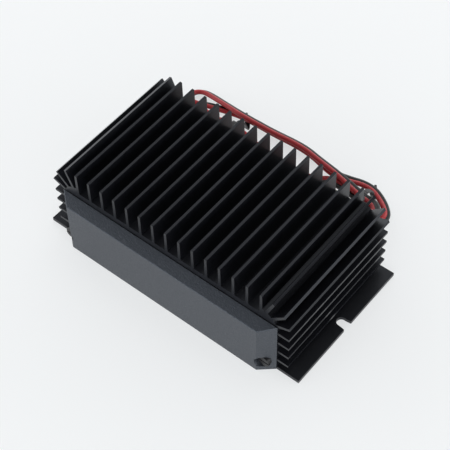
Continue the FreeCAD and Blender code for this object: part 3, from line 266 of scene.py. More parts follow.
def anodised_extrusion():
    """Black dyed aluminium: fine die lines along Y, faint cloudiness of the dye, dust in places."""
    f = Finish("black anodised extrusion")
    lines = f.noise(900, (1, 0.012, 1), detail=2.0)
    broad = f.noise(160, (1, 0.03, 1), detail=2.0)
    cloud = f.noise(45)
    dust = f.noise(1400, detail=1.0).between(0.66, 0.76) * cloud.between(0.45, 0.7)
    black = f.blend(lines * 0.5 + cloud * 0.5, (0.0036, 0.0038, 0.0052), (0.0085, 0.009, 0.0115))
    return f.done(
        {"Specular IOR Level": 0.36, "Specular Tint": COOL_TINT},
        Base_Color=f.blend(dust * 0.3, black, DUST),
        Roughness=0.24 + lines * 0.12 + broad * 0.08 + dust * 0.2,
        Normal=f.bump(lines * 0.6 + broad * 0.4, 0.00006),
    )


def painted_plate():
    """Black paint on sheet steel: a low even texture, scuffed a little by handling."""
    f = Finish("black painted plate")
    peel = f.noise(1300, detail=2.0)
    cloud = f.noise(38)
    scuff = f.noise(220, (1, 6, 1), detail=4.0).between(0.62, 0.78) * cloud.between(0.4, 0.65)
    black = f.blend(cloud, (0.006, 0.0063, 0.0075), (0.013, 0.0135, 0.016))
    return f.done(
        {"Specular IOR Level": 0.32, "Specular Tint": COOL_TINT},
        Base_Color=f.blend(scuff * 0.2, black, DUST),
        Roughness=0.3 + peel * 0.12 + scuff * 0.15,
        Normal=f.bump(peel, 0.00003),
    )


def moulded_cap():
    """Black moulded plastic with a fine spark-eroded grain, worn smoother in places."""
    f = Finish("black moulded plastic, grained")
    grain = f.cells(1500) * 0.7 + f.noise(2200, detail=2.0) * 0.5
    cloud = f.noise(30)
    speck = f.noise(1100, detail=2.0).between(0.52, 0.68)
    black = f.blend(cloud, (0.0085, 0.0095, 0.0125), (0.014, 0.0155, 0.0195))
    return f.done(
        {"Specular IOR Level": 1.0, "Specular Tint": CAP_TINT},
        Base_Color=f.blend(speck * 0.35, black, CAP_DUST),
        Roughness=0.3 + grain * 0.18 + cloud * 0.06,
        Normal=f.bump(grain, 0.00012),
    )


def plated(name, dark, light, roughness):
    """Bare or plated metal: turned or drawn lines, a little dull cloudiness."""
    f = Finish(name)
    lines = f.noise(2600, (1, 1, 0.1), detail=2.0)
    cloud = f.noise(260)
    return f.done(
        Base_Color=f.blend(cloud * 0.7 + lines * 0.3, dark, light),
        Metallic=1.0,
        Roughness=roughness + lines * 0.1 + cloud.between(0.5, 0.75) * 0.12,
        Normal=f.bump(lines, 0.00001),
    )


def moulded(name, dark, light, roughness, depth=0.00002):
    """Moulded or dipped plastic: a faint unevenness of colour and a fine skin."""
    f = Finish(name)
    skin = f.noise(2200, detail=2.0)
    cloud = f.noise(150)
    return f.done(
        Base_Color=f.blend(cloud * 0.8 + skin * 0.2, dark, light),
        Roughness=roughness + skin * 0.12,
        Normal=f.bump(skin, depth),
    )


def board_mask():
    """Green solder mask over the glass weave, which shows as a fine square relief."""
    f = Finish("solder mask on glass cloth")
    weave = (f.axis("X") * CLOTH_WAVES).sine() * (f.axis("Y") * CLOTH_WAVES).sine()
    tracks = f.noise(170, detail=0.0).between(0.49, 0.53)
    return f.done(
        Base_Color=f.blend(tracks, (0.012, 0.075, 0.033), (0.03, 0.15, 0.065)),
        Roughness=0.28 + tracks * 0.08,
        Normal=f.bump(weave * 0.15 + tracks, 0.00003),
    )


def enamelled_copper():
    """Wound enamelled wire: turns side by side, as fine dark lines across the winding."""
    f = Finish("enamelled copper wire")
    turns = (f.axis("X") * TURNS_ALONG_X + f.axis("Y") * TURNS_ALONG_Y).sine() * 0.5 + 0.5
    cloud = f.noise(300)
    return f.done(
        Base_Color=f.blend(turns * 0.6 + cloud * 0.4, (0.3, 0.1, 0.045), (0.66, 0.29, 0.13)),
        Metallic=0.85,
        Roughness=0.24 + cloud * 0.15,
        Normal=f.bump(turns, 0.00003),
    )


def sintered_ferrite():
    """Grey-black sintered ferrite, matt, with small pits."""
    f = Finish("sintered ferrite")
    pits = f.cells(1500).between(0.12, 0.35)
    return f.done(
        Base_Color=f.blend(f.noise(500), (0.028, 0.028, 0.031), (0.07, 0.07, 0.075)),
        Roughness=0.62 - pits * 0.12,
        Normal=f.bump(pits, 0.00005),
    )


def coloured_pair():
    """The lead's PVC sheath: red on the half of the section whose v is under 0.5, black on the other.
    u runs along the lead in millimetres, so the marks of drawing and handling lie along it."""
    f = Finish("red and black PVC")
    where = f.add("ShaderNodeUVMap", {"uv_map": "around"})
    v = f.add("ShaderNodeSeparateXYZ", None, {0: where}, "Y")
    streak = f.add("ShaderNodeTexNoise", None, {
        "Vector": f.add("ShaderNodeVectorMath", {"operation": "MULTIPLY"}, {0: where, 1: STREAK_STRETCH}),
        "Scale": 3.0, "Detail": 3.0, "Roughness": 0.6,
    })
    cloud = f.noise(120)
    fine = f.noise(2400, detail=2.0)
    black_side = v.between(RED_END, BLACK_START)
    red = f.blend(cloud * 0.6 + streak * 0.4, (0.32, 0.02, 0.024), (0.48, 0.04, 0.046))
    black = f.blend(cloud, *BLACK_PVC)
    return f.done(
        {"Specular IOR Level": 0.38},
        Base_Color=f.blend(black_side, red, black),
        Roughness=0.32 + streak * 0.14 + fine * 0.06,
        Normal=f.bump(streak * 0.6 + fine * 0.4, 0.00002),
    )


def nylon():
    """Black nylon of a cable tie, with a soft sheen and flow marks along it."""
    f = Finish("black nylon")
    flow = f.noise(900, (0.3, 1, 1), detail=2.0)
    return f.done(
        {"Specular IOR Level": 0.5},
        Base_Color=f.blend(flow, (0.011, 0.011, 0.012), (0.024, 0.024, 0.026)),
        Roughness=0.3 + flow * 0.16,
        Normal=f.bump(flow, 0.00002),
    )


def tinned_strands():
    """Tinned copper strands laid in a slow twist round the end's own length."""
    f = Finish("tinned strands")
    twist = ((f.axis("X") + f.axis("Z") + f.axis("Y") * TWIST_SLANT) * TWIST_WAVES).sine() * 0.5 + 0.5
    return f.done(
        Base_Color=f.blend(twist * 0.7 + f.noise(900) * 0.3, (0.36, 0.35, 0.33), (0.74, 0.73, 0.7)),
        Metallic=1.0,
        Roughness=0.3 + twist * 0.1,
        Normal=f.bump(twist, 0.00008),
    )


def shrunk_sleeve():
    """Dark blue shrink sleeve, glossy, with the faint lengthwise stretch of the film."""
    f = Finish("shrunk sleeve")
    film = f.noise(500, (1, 1, 0.15), detail=2.0)
    return f.done(
        Base_Color=f.blend(film, (0.016, 0.018, 0.06), (0.035, 0.038, 0.11)),
        Roughness=0.2 + film * 0.1,
        Normal=f.bump(film, 0.00002),
    )


def finishes():
    """One material for each slot of the record."""
    return {
        "sink_black": anodised_extrusion(),
        "plate_black": painted_plate(),
        "cap_black": moulded_cap(),
        "screw_black": moulded("blackened steel", (0.005, 0.005, 0.006), (0.013, 0.013, 0.015), 0.42),
        "screw_steel": plated("zinc plated steel", (0.42, 0.43, 0.42), (0.66, 0.66, 0.63), 0.26),
        "nickel": plated("nickel plate", (0.5, 0.48, 0.43), (0.78, 0.76, 0.71), 0.2),
        "insulator_white": moulded("white insulator", (0.72, 0.71, 0.66), (0.82, 0.81, 0.77), 0.36),
        "brass": plated("machined brass", (0.5, 0.33, 0.12), (0.76, 0.56, 0.27), 0.2),
        "copper": enamelled_copper(),
        "tinned": tinned_strands(),
        "board_green": board_mask(),
        "ferrite": sintered_ferrite(),
        "choke_yellow": moulded("yellow epoxy coat", (0.55, 0.42, 0.05), (0.74, 0.61, 0.1), 0.3, 0.00005),
        "component_black": moulded(
            "black moulding compound", (0.012, 0.012, 0.013), (0.028, 0.028, 0.03), 0.45,
        ),
        "component_tan": moulded("tan lacquer", (0.45, 0.29, 0.15), (0.62, 0.43, 0.25), 0.28),
        "component_brown": moulded("brown dipped coat", (0.2, 0.065, 0.03), (0.32, 0.12, 0.06), 0.24),
        "relay_blue": moulded("blue relay cover", (0.025, 0.085, 0.27), (0.05, 0.14, 0.38), 0.3),
        "can_sleeve": shrunk_sleeve(),
        "pad_grey": moulded("grey silicone pad", (0.36, 0.38, 0.39), (0.47, 0.49, 0.5), 0.6),
        "ceramic": moulded("glazed ceramic", (0.64, 0.61, 0.54), (0.78, 0.75, 0.69), 0.16),
        "lead_red": moulded("red PVC", (0.24, 0.026, 0.03), (0.38, 0.05, 0.055), 0.34),
        "lead_black": moulded("black PVC", *BLACK_PVC, 0.34),
        "bush_black": moulded("black rubber", *BLACK_RUBBER, 0.5, 0.00004),
    }


def dress_nodes(materials):
    """Every CAD node takes the finish of its slot in the record."""
    for part in frame["record"]["subparts"]:
        piece = frame["nodes"][part["node"]]
        for slot in piece.material_slots:
            slot.material = materials[part["material_slot"]]


# ---------------------------------------------------------------- supply lead

# The lead's route: x, y and z in millimetres, and the tilt of its pair from upright in degrees.
ROUTE = np.array([
    # straight out of the bush, then round into the bundle
    (0.0, 33.6, 6.6, 90), (0.0, 38.0, 6.6, 90), (0.0, 42.5, 6.6, 80), (1.4, 46.6, 6.8, 60),
    (5.2, 49.2, 7.0, 42),
    # first run, on top of the bundle
    (11.0, 50.4, 7.1, 30), (20.0, 50.9, 7.2, 28), (29.5, 51.0, 7.2, 30), (37.0, 50.6, 7.2, 32),
    # its end loop, coming down on the far side
    (40.8, 48.6, 7.8, 42), (44.2, 45.2, 8.2, 55), (48.6, 45.4, 8.3, 60), (49.8, 49.4, 8.5, 60),
    (46.8, 52.8, 8.8, 50), (42.2, 53.2, 6.4, 8),
    # second run, underneath
    (37.6, 53.6, 3.2, -24), (29.0, 52.7, 2.8, -20), (14.0, 52.8, 2.5, -12), (-4.0, 52.4, 2.5, -12),
    (-20.0, 52.8, 2.7, -20), (-33.5, 52.9, 3.05, -28), (-43.0, 53.6, 2.6, -16), (-50.0, 56.2, 2.5, -10),
    # loop at the left end
    (-56.0, 58.0, 2.5, -4), (-62.4, 56.6, 2.5, 0), (-66.2, 52.6, 2.5, 4), (-65.8, 48.0, 2.5, 8),
    (-61.4, 44.9, 2.5, 8), (-55.8, 45.6, 2.5, 8), (-50.0, 47.8, 2.5, 10),
    # third run
    (-43.0, 49.2, 2.7, 22), (-33.5, 49.5, 3.05, 28), (-18.0, 49.2, 2.6, 14), (-2.0, 49.7, 2.5, 10),
    (14.0, 49.3, 2.5, 12), (29.0, 49.6, 2.8, 24), (37.4, 49.6, 3.1, 30),
    # round the right end, above the other strand that lies there
    (41.6, 48.2, 3.9, 50), (45.4, 48.4, 4.5, 74), (46.9, 52.0, 4.8, 96), (45.7, 56.0, 4.8, 106),
    (43.0, 58.8, 4.5, 104), (40.4, 60.1, 4.1, 84),
    # outer strand, to the left
    (37.4, 60.4, 3.9, 72), (31.4, 61.4, 3.9, 72), (24.2, 63.0, 4.2, 66), (17.0, 64.2, 4.6, 56),
    (10.6, 65.1, 4.7, 54), (4.6, 66.0, 4.7, 54), (-1.4, 67.1, 4.7, 54), (-8.4, 67.2, 4.7, 54),
    (-19.3, 66.2, 4.7, 54), (-29.8, 65.4, 5.2, 54), (-40.0, 65.2, 5.4, 54), (-50.2, 66.4, 4.2, 50),
    # fold at the left
    (-59.6, 67.8, 2.7, 52), (-64.6, 67.8, 2.3, 46), (-68.2, 65.2, 2.3, 36), (-68.6, 60.8, 2.4, 12),
    (-65.2, 58.8, 2.4, -26),
    # back to the right on the floor, under the outer strand, and out from under it
    (-58.8, 62.0, 2.0, -60), (-51.6, 64.4, 1.7, -70), (-43.4, 66.8, 1.6, -70), (-33.5, 67.4, 2.2, -70),
    (-22.0, 67.8, 1.6, -70), (-8.0, 68.8, 1.55, -70), (2.0, 68.2, 1.5, -72), (10.0, 66.2, 1.4, -78),
    (17.0, 65.2, 1.25, -84), (23.6, 66.4, 1.7, -78), (30.0, 68.0, 2.4, -70), (36.0, 68.0, 2.5, -66),
    (41.2, 66.0, 2.1, -64), (46.0, 63.0, 1.9, -56), (49.2, 59.6, 2.0, -46), (49.4, 55.4, 1.9, -52),
    (46.4, 52.2, 1.6, -72), (42.8, 53.0, 1.4, -80), (40.2, 56.0, 1.25, -88),
    # last run, bowing out of the bundle, then over it to the lead's end
    (37.4, 59.0, 1.2, -88), (31.0, 60.6, 1.2, -88), (25.0, 61.3, 1.2, -88), (19.6, 61.5, 1.2, -88),
    (15.6, 60.6, 1.2, -88), (12.4, 57.6, 1.2, -88), (7.4, 55.6, 1.2, -88), (-2.0, 55.3, 1.2, -88),
    (-11.0, 55.3, 1.2, -86), (-20.0, 55.3, 1.5, -80), (-27.0, 55.6, 3.4, -66), (-33.5, 55.4, 6.0, -50),
    (-38.5, 55.0, 7.2, -46), (-43.4, 53.9, 7.4, -60), (-46.4, 51.2, 7.2, -80), (-47.0, 48.8, 7.0, -90),
    (-47.0, 47.6, 7.0, -90),
])
CORE_RADIUS = 1.15
CORE_ARC = 150
CORE_POINTS = 12
RED_V = 0.25
BUSH_END_Y = 38.3
BUSH_Z = 6.6


def pair_section():
    """Two circles of the core's radius, side by side and joined by a web: each circle runs from
    150 degrees one way to 150 degrees the other, so that the web between them has a groove on each face."""
    a = np.radians(np.linspace(-CORE_ARC, CORE_ARC, CORE_POINTS))
    right = np.c_[1 + np.cos(a), np.sin(a)]
    left = np.c_[-1 + np.cos(a + math.pi), np.sin(a + math.pi)]
    return np.r_[right, left] * CORE_RADIUS


def supply_lead():
    """The bonded pair: its section, carried along the route. At each point the section's width leans
    from upright by the tilt, towards the side that Z x tangent gives, and the red core lies on that side.
    Its u is the length run so far in millimetres, its v the part of the way round the section."""
    line = spline(ROUTE[:, :3], "lead line")
    tilt = np.radians(spline(np.c_[ROUTE[:, 3], np.zeros((len(ROUTE), 2))], "lead tilt")[:, 0])
    along = np.gradient(line, axis=0)
    along /= np.linalg.norm(along, axis=1)[:, None]
    side = np.cross([0, 0, 1], along)
    side /= np.linalg.norm(side, axis=1)[:, None]
    up = np.cross(along, side)
    wide = np.cos(tilt)[:, None] * up + np.sin(tilt)[:, None] * side
    thick = np.cross(wide, along)
    section = pair_section()
    points = line[:, None] + section[None, :, :1] * wide[:, None] + section[None, :, 1:] * thick[:, None]
    rings, around = points.shape[:2]
    points, faces = tube_mesh(points, False)
    run = np.r_[0, np.cumsum(np.linalg.norm(np.diff(line, axis=0), axis=1))]
    part = np.arange(around + 1) / around
    i, k = np.meshgrid(np.arange(rings - 1), np.arange(around), indexing="ij")
    uvs = np.stack([
        np.stack([run[i], part[k]], -1), np.stack([run[i], part[k + 1]], -1),
        np.stack([run[i + 1], part[k + 1]], -1), np.stack([run[i + 1], part[k]], -1),
    ], -2).reshape(-1, 2)
    corners_of_ends = faces.size - len(uvs)
    uvs = np.r_[uvs, np.tile([[0.0, RED_V]], (corners_of_ends, 1))]
    return points * MM, faces, uvs, line * MM


# ---------------------------------------------------------------- cable ties

# The bundle's outline where it is tied, and the outline's mid-sides: y and z in millimetres.
TIED_OUTLINE = np.array([
    (47.5, 0.5), (52.0, 0.5), (56.9, 0.5), (57.0, 3.2), (56.9, 5.9), (55.2, 7.8), (53.5, 9.7), (50.5, 9.7),
    (47.4, 9.7), (47.3, 5.0),
])
BAND = {"width": 3.6, "thickness": 0.8}
TAIL = {"width": 2.6, "thickness": 0.9, "teeth": 0.3, "tip": 6.0}
BAND_STEPS = 8
TAIL_STEPS = 12
# The head and the raised rim at its mouth: y and z of the middle, then the size.
HEAD_BLOCKS = (((52.2, 11.8), (4.4, 4.6, 3.6)), ((49.9, 11.9), (3.2, 0.9, 2.2)))
BLOCK_POWER = 0.3
BLOCK_ROWS = 17
BLOCK_POINTS = 32
STRAP_POINTS = 16
STRAP_WIDTH_POWER = 0.35
STRAP_FACE_POWER = 0.5
TOOTH_RINGS = 3
TIP_WIDTH = 0.4
# Each tie's place along X, and the line of its tail, from inside the head to the tip.
TIE_TAILS = {
    "left": (-33.5, [
        (-33.5, 49.6, 11.6), (-33.5, 52.6, 12.4), (-33.5, 57.2, 11.4), (-33.6, 60.0, 7.2),
        (-33.8, 61.4, 3.2), (-34.0, 62.8, 0.7), (-36.0, 65.6, 0.7), (-38.2, 68.0, 0.7), (-40.0, 70.0, 0.7),
    ]),
    "right": (38.0, [
        (38.0, 49.6, 11.6), (38.0, 52.6, 12.5), (38.2, 57.4, 13.2), (38.4, 62.0, 9.6), (38.4, 63.4, 4.4),
        (38.4, 64.6, 0.8), (37.6, 67.0, 0.7), (36.2, 69.2, 0.7), (35.0, 71.2, 0.7),
    ]),
}


def smooth_line(corners, closed, steps):
    """A quadratic B-spline over the corners: between each two middles of the sides, with t from 0 to 1,
    half (1 - t) squared of one corner, half t squared of the third, and the rest of the second."""
    corners = np.asarray(corners, float)
    if closed:
        first, middle, last = np.roll(corners, 1, 0), corners, np.roll(corners, -1, 0)
    else:
        padded = np.r_[[2 * corners[0] - corners[1]], corners, [2 * corners[-1] - corners[-2]]]
        first, middle, last = padded[:-2], padded[1:-1], padded[2:]
    t = (np.arange(steps) / steps)[None, :, None]
    a, b = 0.5 * (1 - t) ** 2, 0.5 * t ** 2
    points = a * first[:, None] + (1 - a - b) * middle[:, None] + b * last[:, None]
    return points.reshape(-1, corners.shape[1])


def strap(line, closed, width, thickness, teeth=0.0, tip=0.0):
    """A flat strap along a line, its width as near to X as the line lets it be. Its section is a rounded
    oblong: half the width times the signed 0.35 power of cos a, and half the thickness times the signed
    0.5 power of sin a. Teeth make its under face a sawtooth: it goes up by half the teeth's depth from
    ring to ring, and back every third. Over the last part, tip long, its width falls evenly to four
    tenths."""
    if closed:
        along = np.roll(line, -1, 0) - np.roll(line, 1, 0)
    else:
        along = np.gradient(line, axis=0)
    along /= np.linalg.norm(along, axis=1)[:, None]
    out = np.cross(along, [1.0, 0, 0])
    out /= np.linalg.norm(out, axis=1)[:, None]
    wide = np.cross(out, along)
    a = (np.arange(STRAP_POINTS) + 0.5) * FULL_TURN / STRAP_POINTS
    across = width / 2 * signed_power(np.cos(a), STRAP_WIDTH_POWER)
    through = thickness / 2 * signed_power(np.sin(a), STRAP_FACE_POWER)
    saw = teeth * (np.arange(len(line)) % TOOTH_RINGS) / (TOOTH_RINGS - 1)
    through = through[None, :] + (np.sin(a) < 0)[None, :] * saw[:, None]
    left = np.linalg.norm(line - line[-1], axis=1)
    narrow = TIP_WIDTH + (1 - TIP_WIDTH) * np.clip(left / tip, 0, 1) if tip else np.ones(len(line))
    across = across[None, :] * narrow[:, None]
    return line[:, None] + across[..., None] * wide[:, None] + through[..., None] * out[:, None]


def rounded_block(centre, size):
    """A superellipsoid, in rings from the bottom up: half the size times the signed 0.3 powers of cos v
    cos u, of cos v sin u and of sin v, with v from -90 to 90 degrees and u round a full turn."""
    v = np.linspace(-math.pi / 2, math.pi / 2, BLOCK_ROWS)[:, None]
    u = (np.arange(BLOCK_POINTS) * FULL_TURN / BLOCK_POINTS)[None, :]
    waist = signed_power(np.cos(v), BLOCK_POWER)
    height = signed_power(np.sin(v), BLOCK_POWER) * np.ones_like(u)
    shape = np.stack([
        waist * signed_power(np.cos(u), BLOCK_POWER), waist * signed_power(np.sin(u), BLOCK_POWER), height,
    ], -1)
    return np.asarray(centre) + shape * np.asarray(size) / 2


def cable_tie(x, tail):
    """A tie: its band round the bundle, its head on top and its toothed tail out of the head."""
    ring = smooth_line(TIED_OUTLINE, True, BAND_STEPS)
    ring = np.c_[np.full(len(ring), x), ring]
    band = tube_mesh(strap(ring, True, **BAND), True)
    head = [tube_mesh(rounded_block((x, y, z), size), False) for (y, z), size in HEAD_BLOCKS]
    strip = tube_mesh(strap(smooth_line(tail, False, TAIL_STEPS), False, **TAIL), False)
    points, faces = joined_meshes([band, *head, strip])
    return points * MM, faces


def fit_ties(material):
    """Both ties, each in place of its CAD node."""
    ties = []
    for side, (x, tail) in TIE_TAILS.items():
        points, faces = cable_tie(x, tail)
        tie = put_mesh(f"cable_tie_{side}", points, faces, material)
        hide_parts(f"lead_tie_{side}")
        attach(tie, "amplifier")
        ties.append(tie)
    return ties


# ---------------------------------------------------------------- sockets and bush

# Lengths along Y and radii in millimetres; sections are rows of y and radius.
SOCKET_Z = 11.2
SHELL_END_Y = 46.2
THREAD_Y = (46.05, 39.5)
THREAD_RINGS = 60
THREAD_RADIUS = 7.94
THREAD_PITCH = 1.058
THREAD_DEPTH = 0.52
THREAD_FLAT = 0.2
LEAD_IN_RADIUS = 7.35
LEAD_IN_SLOPE = 1.2
SHELL_BORE = np.array([(28.8, 4.2), (40.6, 4.2), (40.6, 6.2), (45.95, 6.2), (46.2, 6.4), (46.2, 7.3)])
SHELL_FLANGE = np.array([
    (39.3, 7.4), (39.0, 7.4), (39.0, 8.7), (38.75, 9.0), (37.0, 9.0), (36.8, 8.8), (36.8, 6.0), (29.1, 6.0),
    (28.8, 5.7),
])
RIM_NOTCH = 0.9
RIM_RADIUS = 6.8
RIM_NOTCH_TURNS = np.radians([45, 135, 225, 315])
RIM_POINTS = 120
# In radians: how far the wall of a notch leans, and how near to a wall an even angle may come.
NOTCH_WALL = 0.004
NOTCH_CLEAR = 0.01
BUSH_BORE_HALF_WIDTH = 2.42
BUSH_BORE_HALF_HEIGHT = 1.3
BUSH_BORE_POWER = 3
BUSH_BORE_Y = (33.6, 38.1, 38.3)
BUSH_BORE_CHAMFER = 0.2
BUSH_FACE_RADIUS = 4.2
BEADS_START_Y = 38.25
BEADS_LENGTH = 1.4
BEAD_RADIUS = 4.45
BEAD_HEIGHT = 0.5
BEAD_POWER = 0.6
BEAD_ROWS = 25
BUSH_POINTS = 72
BUSH_NECK = np.array([
    (36.8, 4.4), (36.8, 3.6), (35.0, 3.6), (35.0, 4.2), (34.85, 4.3), (33.75, 4.3), (33.6, 4.1),
])
TURNED_SHARP_ANGLE = 0.6


def turned(x, z, y, radius, angles):
    """A closed form round an axis along Y: its section goes down the rows, the angles along the columns."""
    y, radius, angles = np.broadcast_arrays(y, radius, angles)
    return tube_mesh(np.stack([x + radius * np.cos(angles), y, z + radius * np.sin(angles)], -1), True)


def rim_angles():
    """Angles round the shell, close together at both walls of each notch; and for each angle, whether it
    is in a notch."""
    middles = RIM_NOTCH_TURNS[:, None]
    half = RIM_NOTCH / 2 / RIM_RADIUS
    walls = (middles + np.array([-half - NOTCH_WALL, -half, 0, half, half + NOTCH_WALL])).ravel()
    even = np.arange(RIM_POINTS) * FULL_TURN / RIM_POINTS
    angles = np.sort(np.r_[even[np.abs(even - middles).min(0) > half + NOTCH_CLEAR], walls])
    return angles, np.abs(angles - middles).min(0) < half + NOTCH_WALL / 2


def threaded_shell(x):
    """A socket's shell. Its thread is a helix: the radius falls from the crest by the depth times a
    triangle wave of y over the pitch less the angle over a full turn, flattened at its top and bottom.
    Nearest the shell's end a slope cuts the crests. Each notch lowers the shell's end by its depth."""
    angles, notched = rim_angles()
    run = np.linspace(*THREAD_Y, THREAD_RINGS)
    wave = np.abs(2 * np.mod(run[:, None] / THREAD_PITCH - angles / FULL_TURN, 1.0) - 1)
    groove = np.clip((1 + 2 * THREAD_FLAT) * wave - THREAD_FLAT, 0, 1)
    crest = np.minimum(THREAD_RADIUS, LEAD_IN_RADIUS + LEAD_IN_SLOPE * (SHELL_END_Y - run))[:, None]
    thread = np.minimum(crest, THREAD_RADIUS - THREAD_DEPTH * groove)
    wide = np.ones(len(angles))
    y = np.r_[SHELL_BORE[:, 0], run, SHELL_FLANGE[:, 0]][:, None] * wide
    radius = np.r_[SHELL_BORE[:, 1:] * wide, thread, SHELL_FLANGE[:, 1:] * wide]
    y = np.where(notched, np.minimum(y, SHELL_END_Y - RIM_NOTCH), y)
    return turned(x, SOCKET_Z, y, radius, angles)


def lead_bush_form():
    """The rubber bush. Its bore is an oval round the pair: the cubes of cos a over the half width and of
    sin a over the half height, added, to the power of minus a third. Two beads go round its flange, each
    swelling by the 0.6 power of the size of a sine."""
    angles = np.arange(BUSH_POINTS) * FULL_TURN / BUSH_POINTS
    oval = (
        np.abs(np.cos(angles) / BUSH_BORE_HALF_WIDTH) ** BUSH_BORE_POWER
        + np.abs(np.sin(angles) / BUSH_BORE_HALF_HEIGHT) ** BUSH_BORE_POWER
    ) ** (-1 / BUSH_BORE_POWER)
    swell = np.linspace(0, 1, BEAD_ROWS)
    beads_y = BEADS_START_Y - BEADS_LENGTH * swell
    beads = BEAD_RADIUS + BEAD_HEIGHT * np.abs(np.sin(FULL_TURN * swell)) ** BEAD_POWER
    wide = np.ones(len(angles))
    bore = [oval, oval, oval + BUSH_BORE_CHAMFER, BUSH_FACE_RADIUS * wide]
    y = np.r_[BUSH_BORE_Y, BUSH_END_Y, beads_y, BUSH_NECK[:, 0]][:, None]
    radius = np.r_[bore, beads[:, None] * wide, BUSH_NECK[:, 1:] * wide]
    return turned(0.0, BUSH_Z, y, radius, angles)


def fit_rear_parts(materials):
    """The sockets' threaded shells and the lead's bush, each in place of its CAD node."""
    forms = []
    for node in ("input_socket_shell", "output_socket_shell"):
        low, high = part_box(node)
        forms.append((node, "nickel", threaded_shell((low[0] + high[0]) / 2 / MM)))
    forms.append(("lead_bush", "bush_black", lead_bush_form()))
    for node, slot, (points, faces) in forms:
        piece = put_mesh(node + "_turned", points * MM, faces, materials[slot])
        piece.data.set_sharp_from_angle(angle=TURNED_SHARP_ANGLE)
        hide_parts(node)
        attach(piece, "amplifier")


# ---------------------------------------------------------------- front cap

CAP_RIM_Y = -35.3 * MM
CAP_TOP_SLOPE = 2.1 / 5.6
CAP_SHARP_ANGLE = 0.5


def flush_cap(material):
    """The cap in its CAD node's own form, with the ends of its upper tabs level with the sloping top: what
    stands over the plane that falls forwards from the rim is lowered to it."""
    mesh = frame["nodes"]["front_cap"].data.copy()
    mesh.name = "flush_cap"
    points = np.zeros(len(mesh.vertices) * 3)
    mesh.vertices.foreach_get("co", points)
    x, y, z = points.reshape(-1, 3).T
    plane = z.max() - (CAP_RIM_Y - y) * CAP_TOP_SLOPE
    lowered = np.where(y < CAP_RIM_Y, np.minimum(z, plane), z)
    mesh.vertices.foreach_set("co", np.c_[x, y, lowered].ravel())
    mesh.materials.clear()
    mesh.materials.append(material)
    mesh.set_sharp_from_angle(angle=CAP_SHARP_ANGLE)
    mesh.update()
    cap = bpy.data.objects.new("flush_cap", mesh)
    bpy.context.scene.collection.objects.link(cap)
    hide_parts("front_cap")
    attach(cap, "amplifier")


# ---------------------------------------------------------------- assembly

def main():
    """Puts every new piece in place of its CAD nodes, and gives all the others their finish."""
    materials = finishes()
    points, faces, uvs, line = supply_lead()
    lead = put_mesh("supply_lead", points, faces, coloured_pair(), uvs)
    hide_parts("power_lead", "lead_hank")
    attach(lead, "amplifier")
    [frame["nodes"]["lead_bare_ends"]] + fit_ties(nylon())
    fit_rear_parts(materials)
    flush_cap(materials["cap_black"])
    dress_nodes(materials)


# ---------------------------------------------------------------- camera, floor and light

CAMERA_LENS = 105.845
CAMERA_SENSOR = 36
# The camera's axes as columns: right, up, back; then its place in metres.
CAMERA_PLACE = Matrix((
    (0.78027, -0.48795, 0.39126, 0.22924),
    (0.62526, 0.6236, -0.46922, -0.2713),
    (-0.01503, 0.61076, 0.79168, 0.47644),
    (0, 0, 0, 1),
))
FLOOR_HALF_SIZE = 3
FLOOR_COLOUR = (0.88, 0.895, 0.905)
FLOOR_GLOW_COLOUR = (0.98, 0.995, 1.0)
FLOOR_GLOW = 1.02
FLOOR_GLOW_PART = 0.6
TENT_COLOUR = (0.97, 0.985, 1.0)
WALL_LIGHT = 2.3
CEILING_LIGHT = 0.36
CORNER_SHADE = 0.9
# Of a direction's unit vector: the heights between which wall turns to ceiling; the way to the dim corner,
# how far along that way the dimness sets in, and the heights between which it does.
CEILING_HEIGHTS = (0.35, 0.7)
CORNER_WAY = (0.77, 0.64)
CORNER_REACH = (0.15, 0.8)
CORNER_HEIGHTS = (0.38, 0.55)


def aim_camera():
    """The camera looks down from the front right, with a long lens."""
    camera = bpy.data.objects.new("camera", bpy.data.cameras.new("camera"))
    camera.data.lens = CAMERA_LENS
    camera.data.sensor_width = CAMERA_SENSOR
    camera.matrix_world = CAMERA_PLACE
    bpy.context.scene.collection.objects.link(camera)
    bpy.context.scene.camera = camera


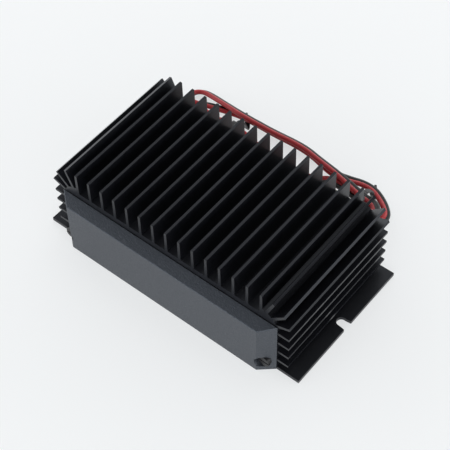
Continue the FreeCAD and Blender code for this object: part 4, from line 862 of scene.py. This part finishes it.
def floor():
    """A wide sheet of pale, slightly cool paper. Seen by the camera or in a reflection, part of it is an
    even glow."""
    mesh = bpy.data.meshes.new("floor")
    h = FLOOR_HALF_SIZE
    mesh.from_pydata([(-h, -h, 0), (h, -h, 0), (h, h, 0), (-h, h, 0)], [], [(0, 1, 2, 3)])
    plane = bpy.data.objects.new("floor", mesh)
    bpy.context.scene.collection.objects.link(plane)
    paper = Finish("floor paper")
    mesh.materials.append(paper.done(Base_Color=FLOOR_COLOUR, Roughness=0.9))
    seen = paper.add("ShaderNodeLightPath", output="Is Camera Ray")
    mirrored = paper.add("ShaderNodeLightPath", output="Is Glossy Ray")
    glow = paper.add("ShaderNodeEmission", None, {"Color": FLOOR_GLOW_COLOUR, "Strength": FLOOR_GLOW})
    both = paper.add("ShaderNodeMixShader", None, {
        0: (seen + mirrored) * FLOOR_GLOW_PART, 1: Wire(paper, paper.shader.outputs["BSDF"]), 2: glow,
    })
    paper.plug(paper.tree.nodes["Material Output"].inputs["Surface"], both)


def light_tent():
    """Soft light from pale walls all round, dimmer overhead and beyond the object's far right corner."""
    world = bpy.data.worlds.new("light tent")
    world.use_nodes = True
    sky = Shading(world.node_tree)
    way = sky.add("ShaderNodeTexCoord", output="Generated")
    across, along, height = (sky.add("ShaderNodeSeparateXYZ", None, {0: way}, axis) for axis in "XYZ")
    wall = WALL_LIGHT - height.between(*CEILING_HEIGHTS) * (WALL_LIGHT - CEILING_LIGHT)
    corner = (across * CORNER_WAY[0] + along * CORNER_WAY[1]).between(*CORNER_REACH)
    corner = corner * height.between(*CORNER_HEIGHTS)
    lamp = world.node_tree.nodes["Background"]
    sky.plug(lamp.inputs["Strength"], wall * (1.0 - corner * CORNER_SHADE))
    sky.plug(lamp.inputs["Color"], TENT_COLOUR)
    bpy.context.scene.world = world


def soft_box(name, place, size, power):
    """A square lamp that faces the object: its place and size in metres, its power in watts."""
    data = bpy.data.lights.new(name, "AREA")
    data.size = size
    data.energy = power
    lamp = bpy.data.objects.new(name, data)
    lamp.location = place
    lamp.rotation_euler = Vector(place).to_track_quat("Z", "Y").to_euler()
    bpy.context.scene.collection.objects.link(lamp)


main()
aim_camera()
floor()
light_tent()
soft_box("soft box behind", (-0.08, 0.6, 1.05), 1.0, 2)
bpy.context.scene.view_settings.view_transform = "Standard"
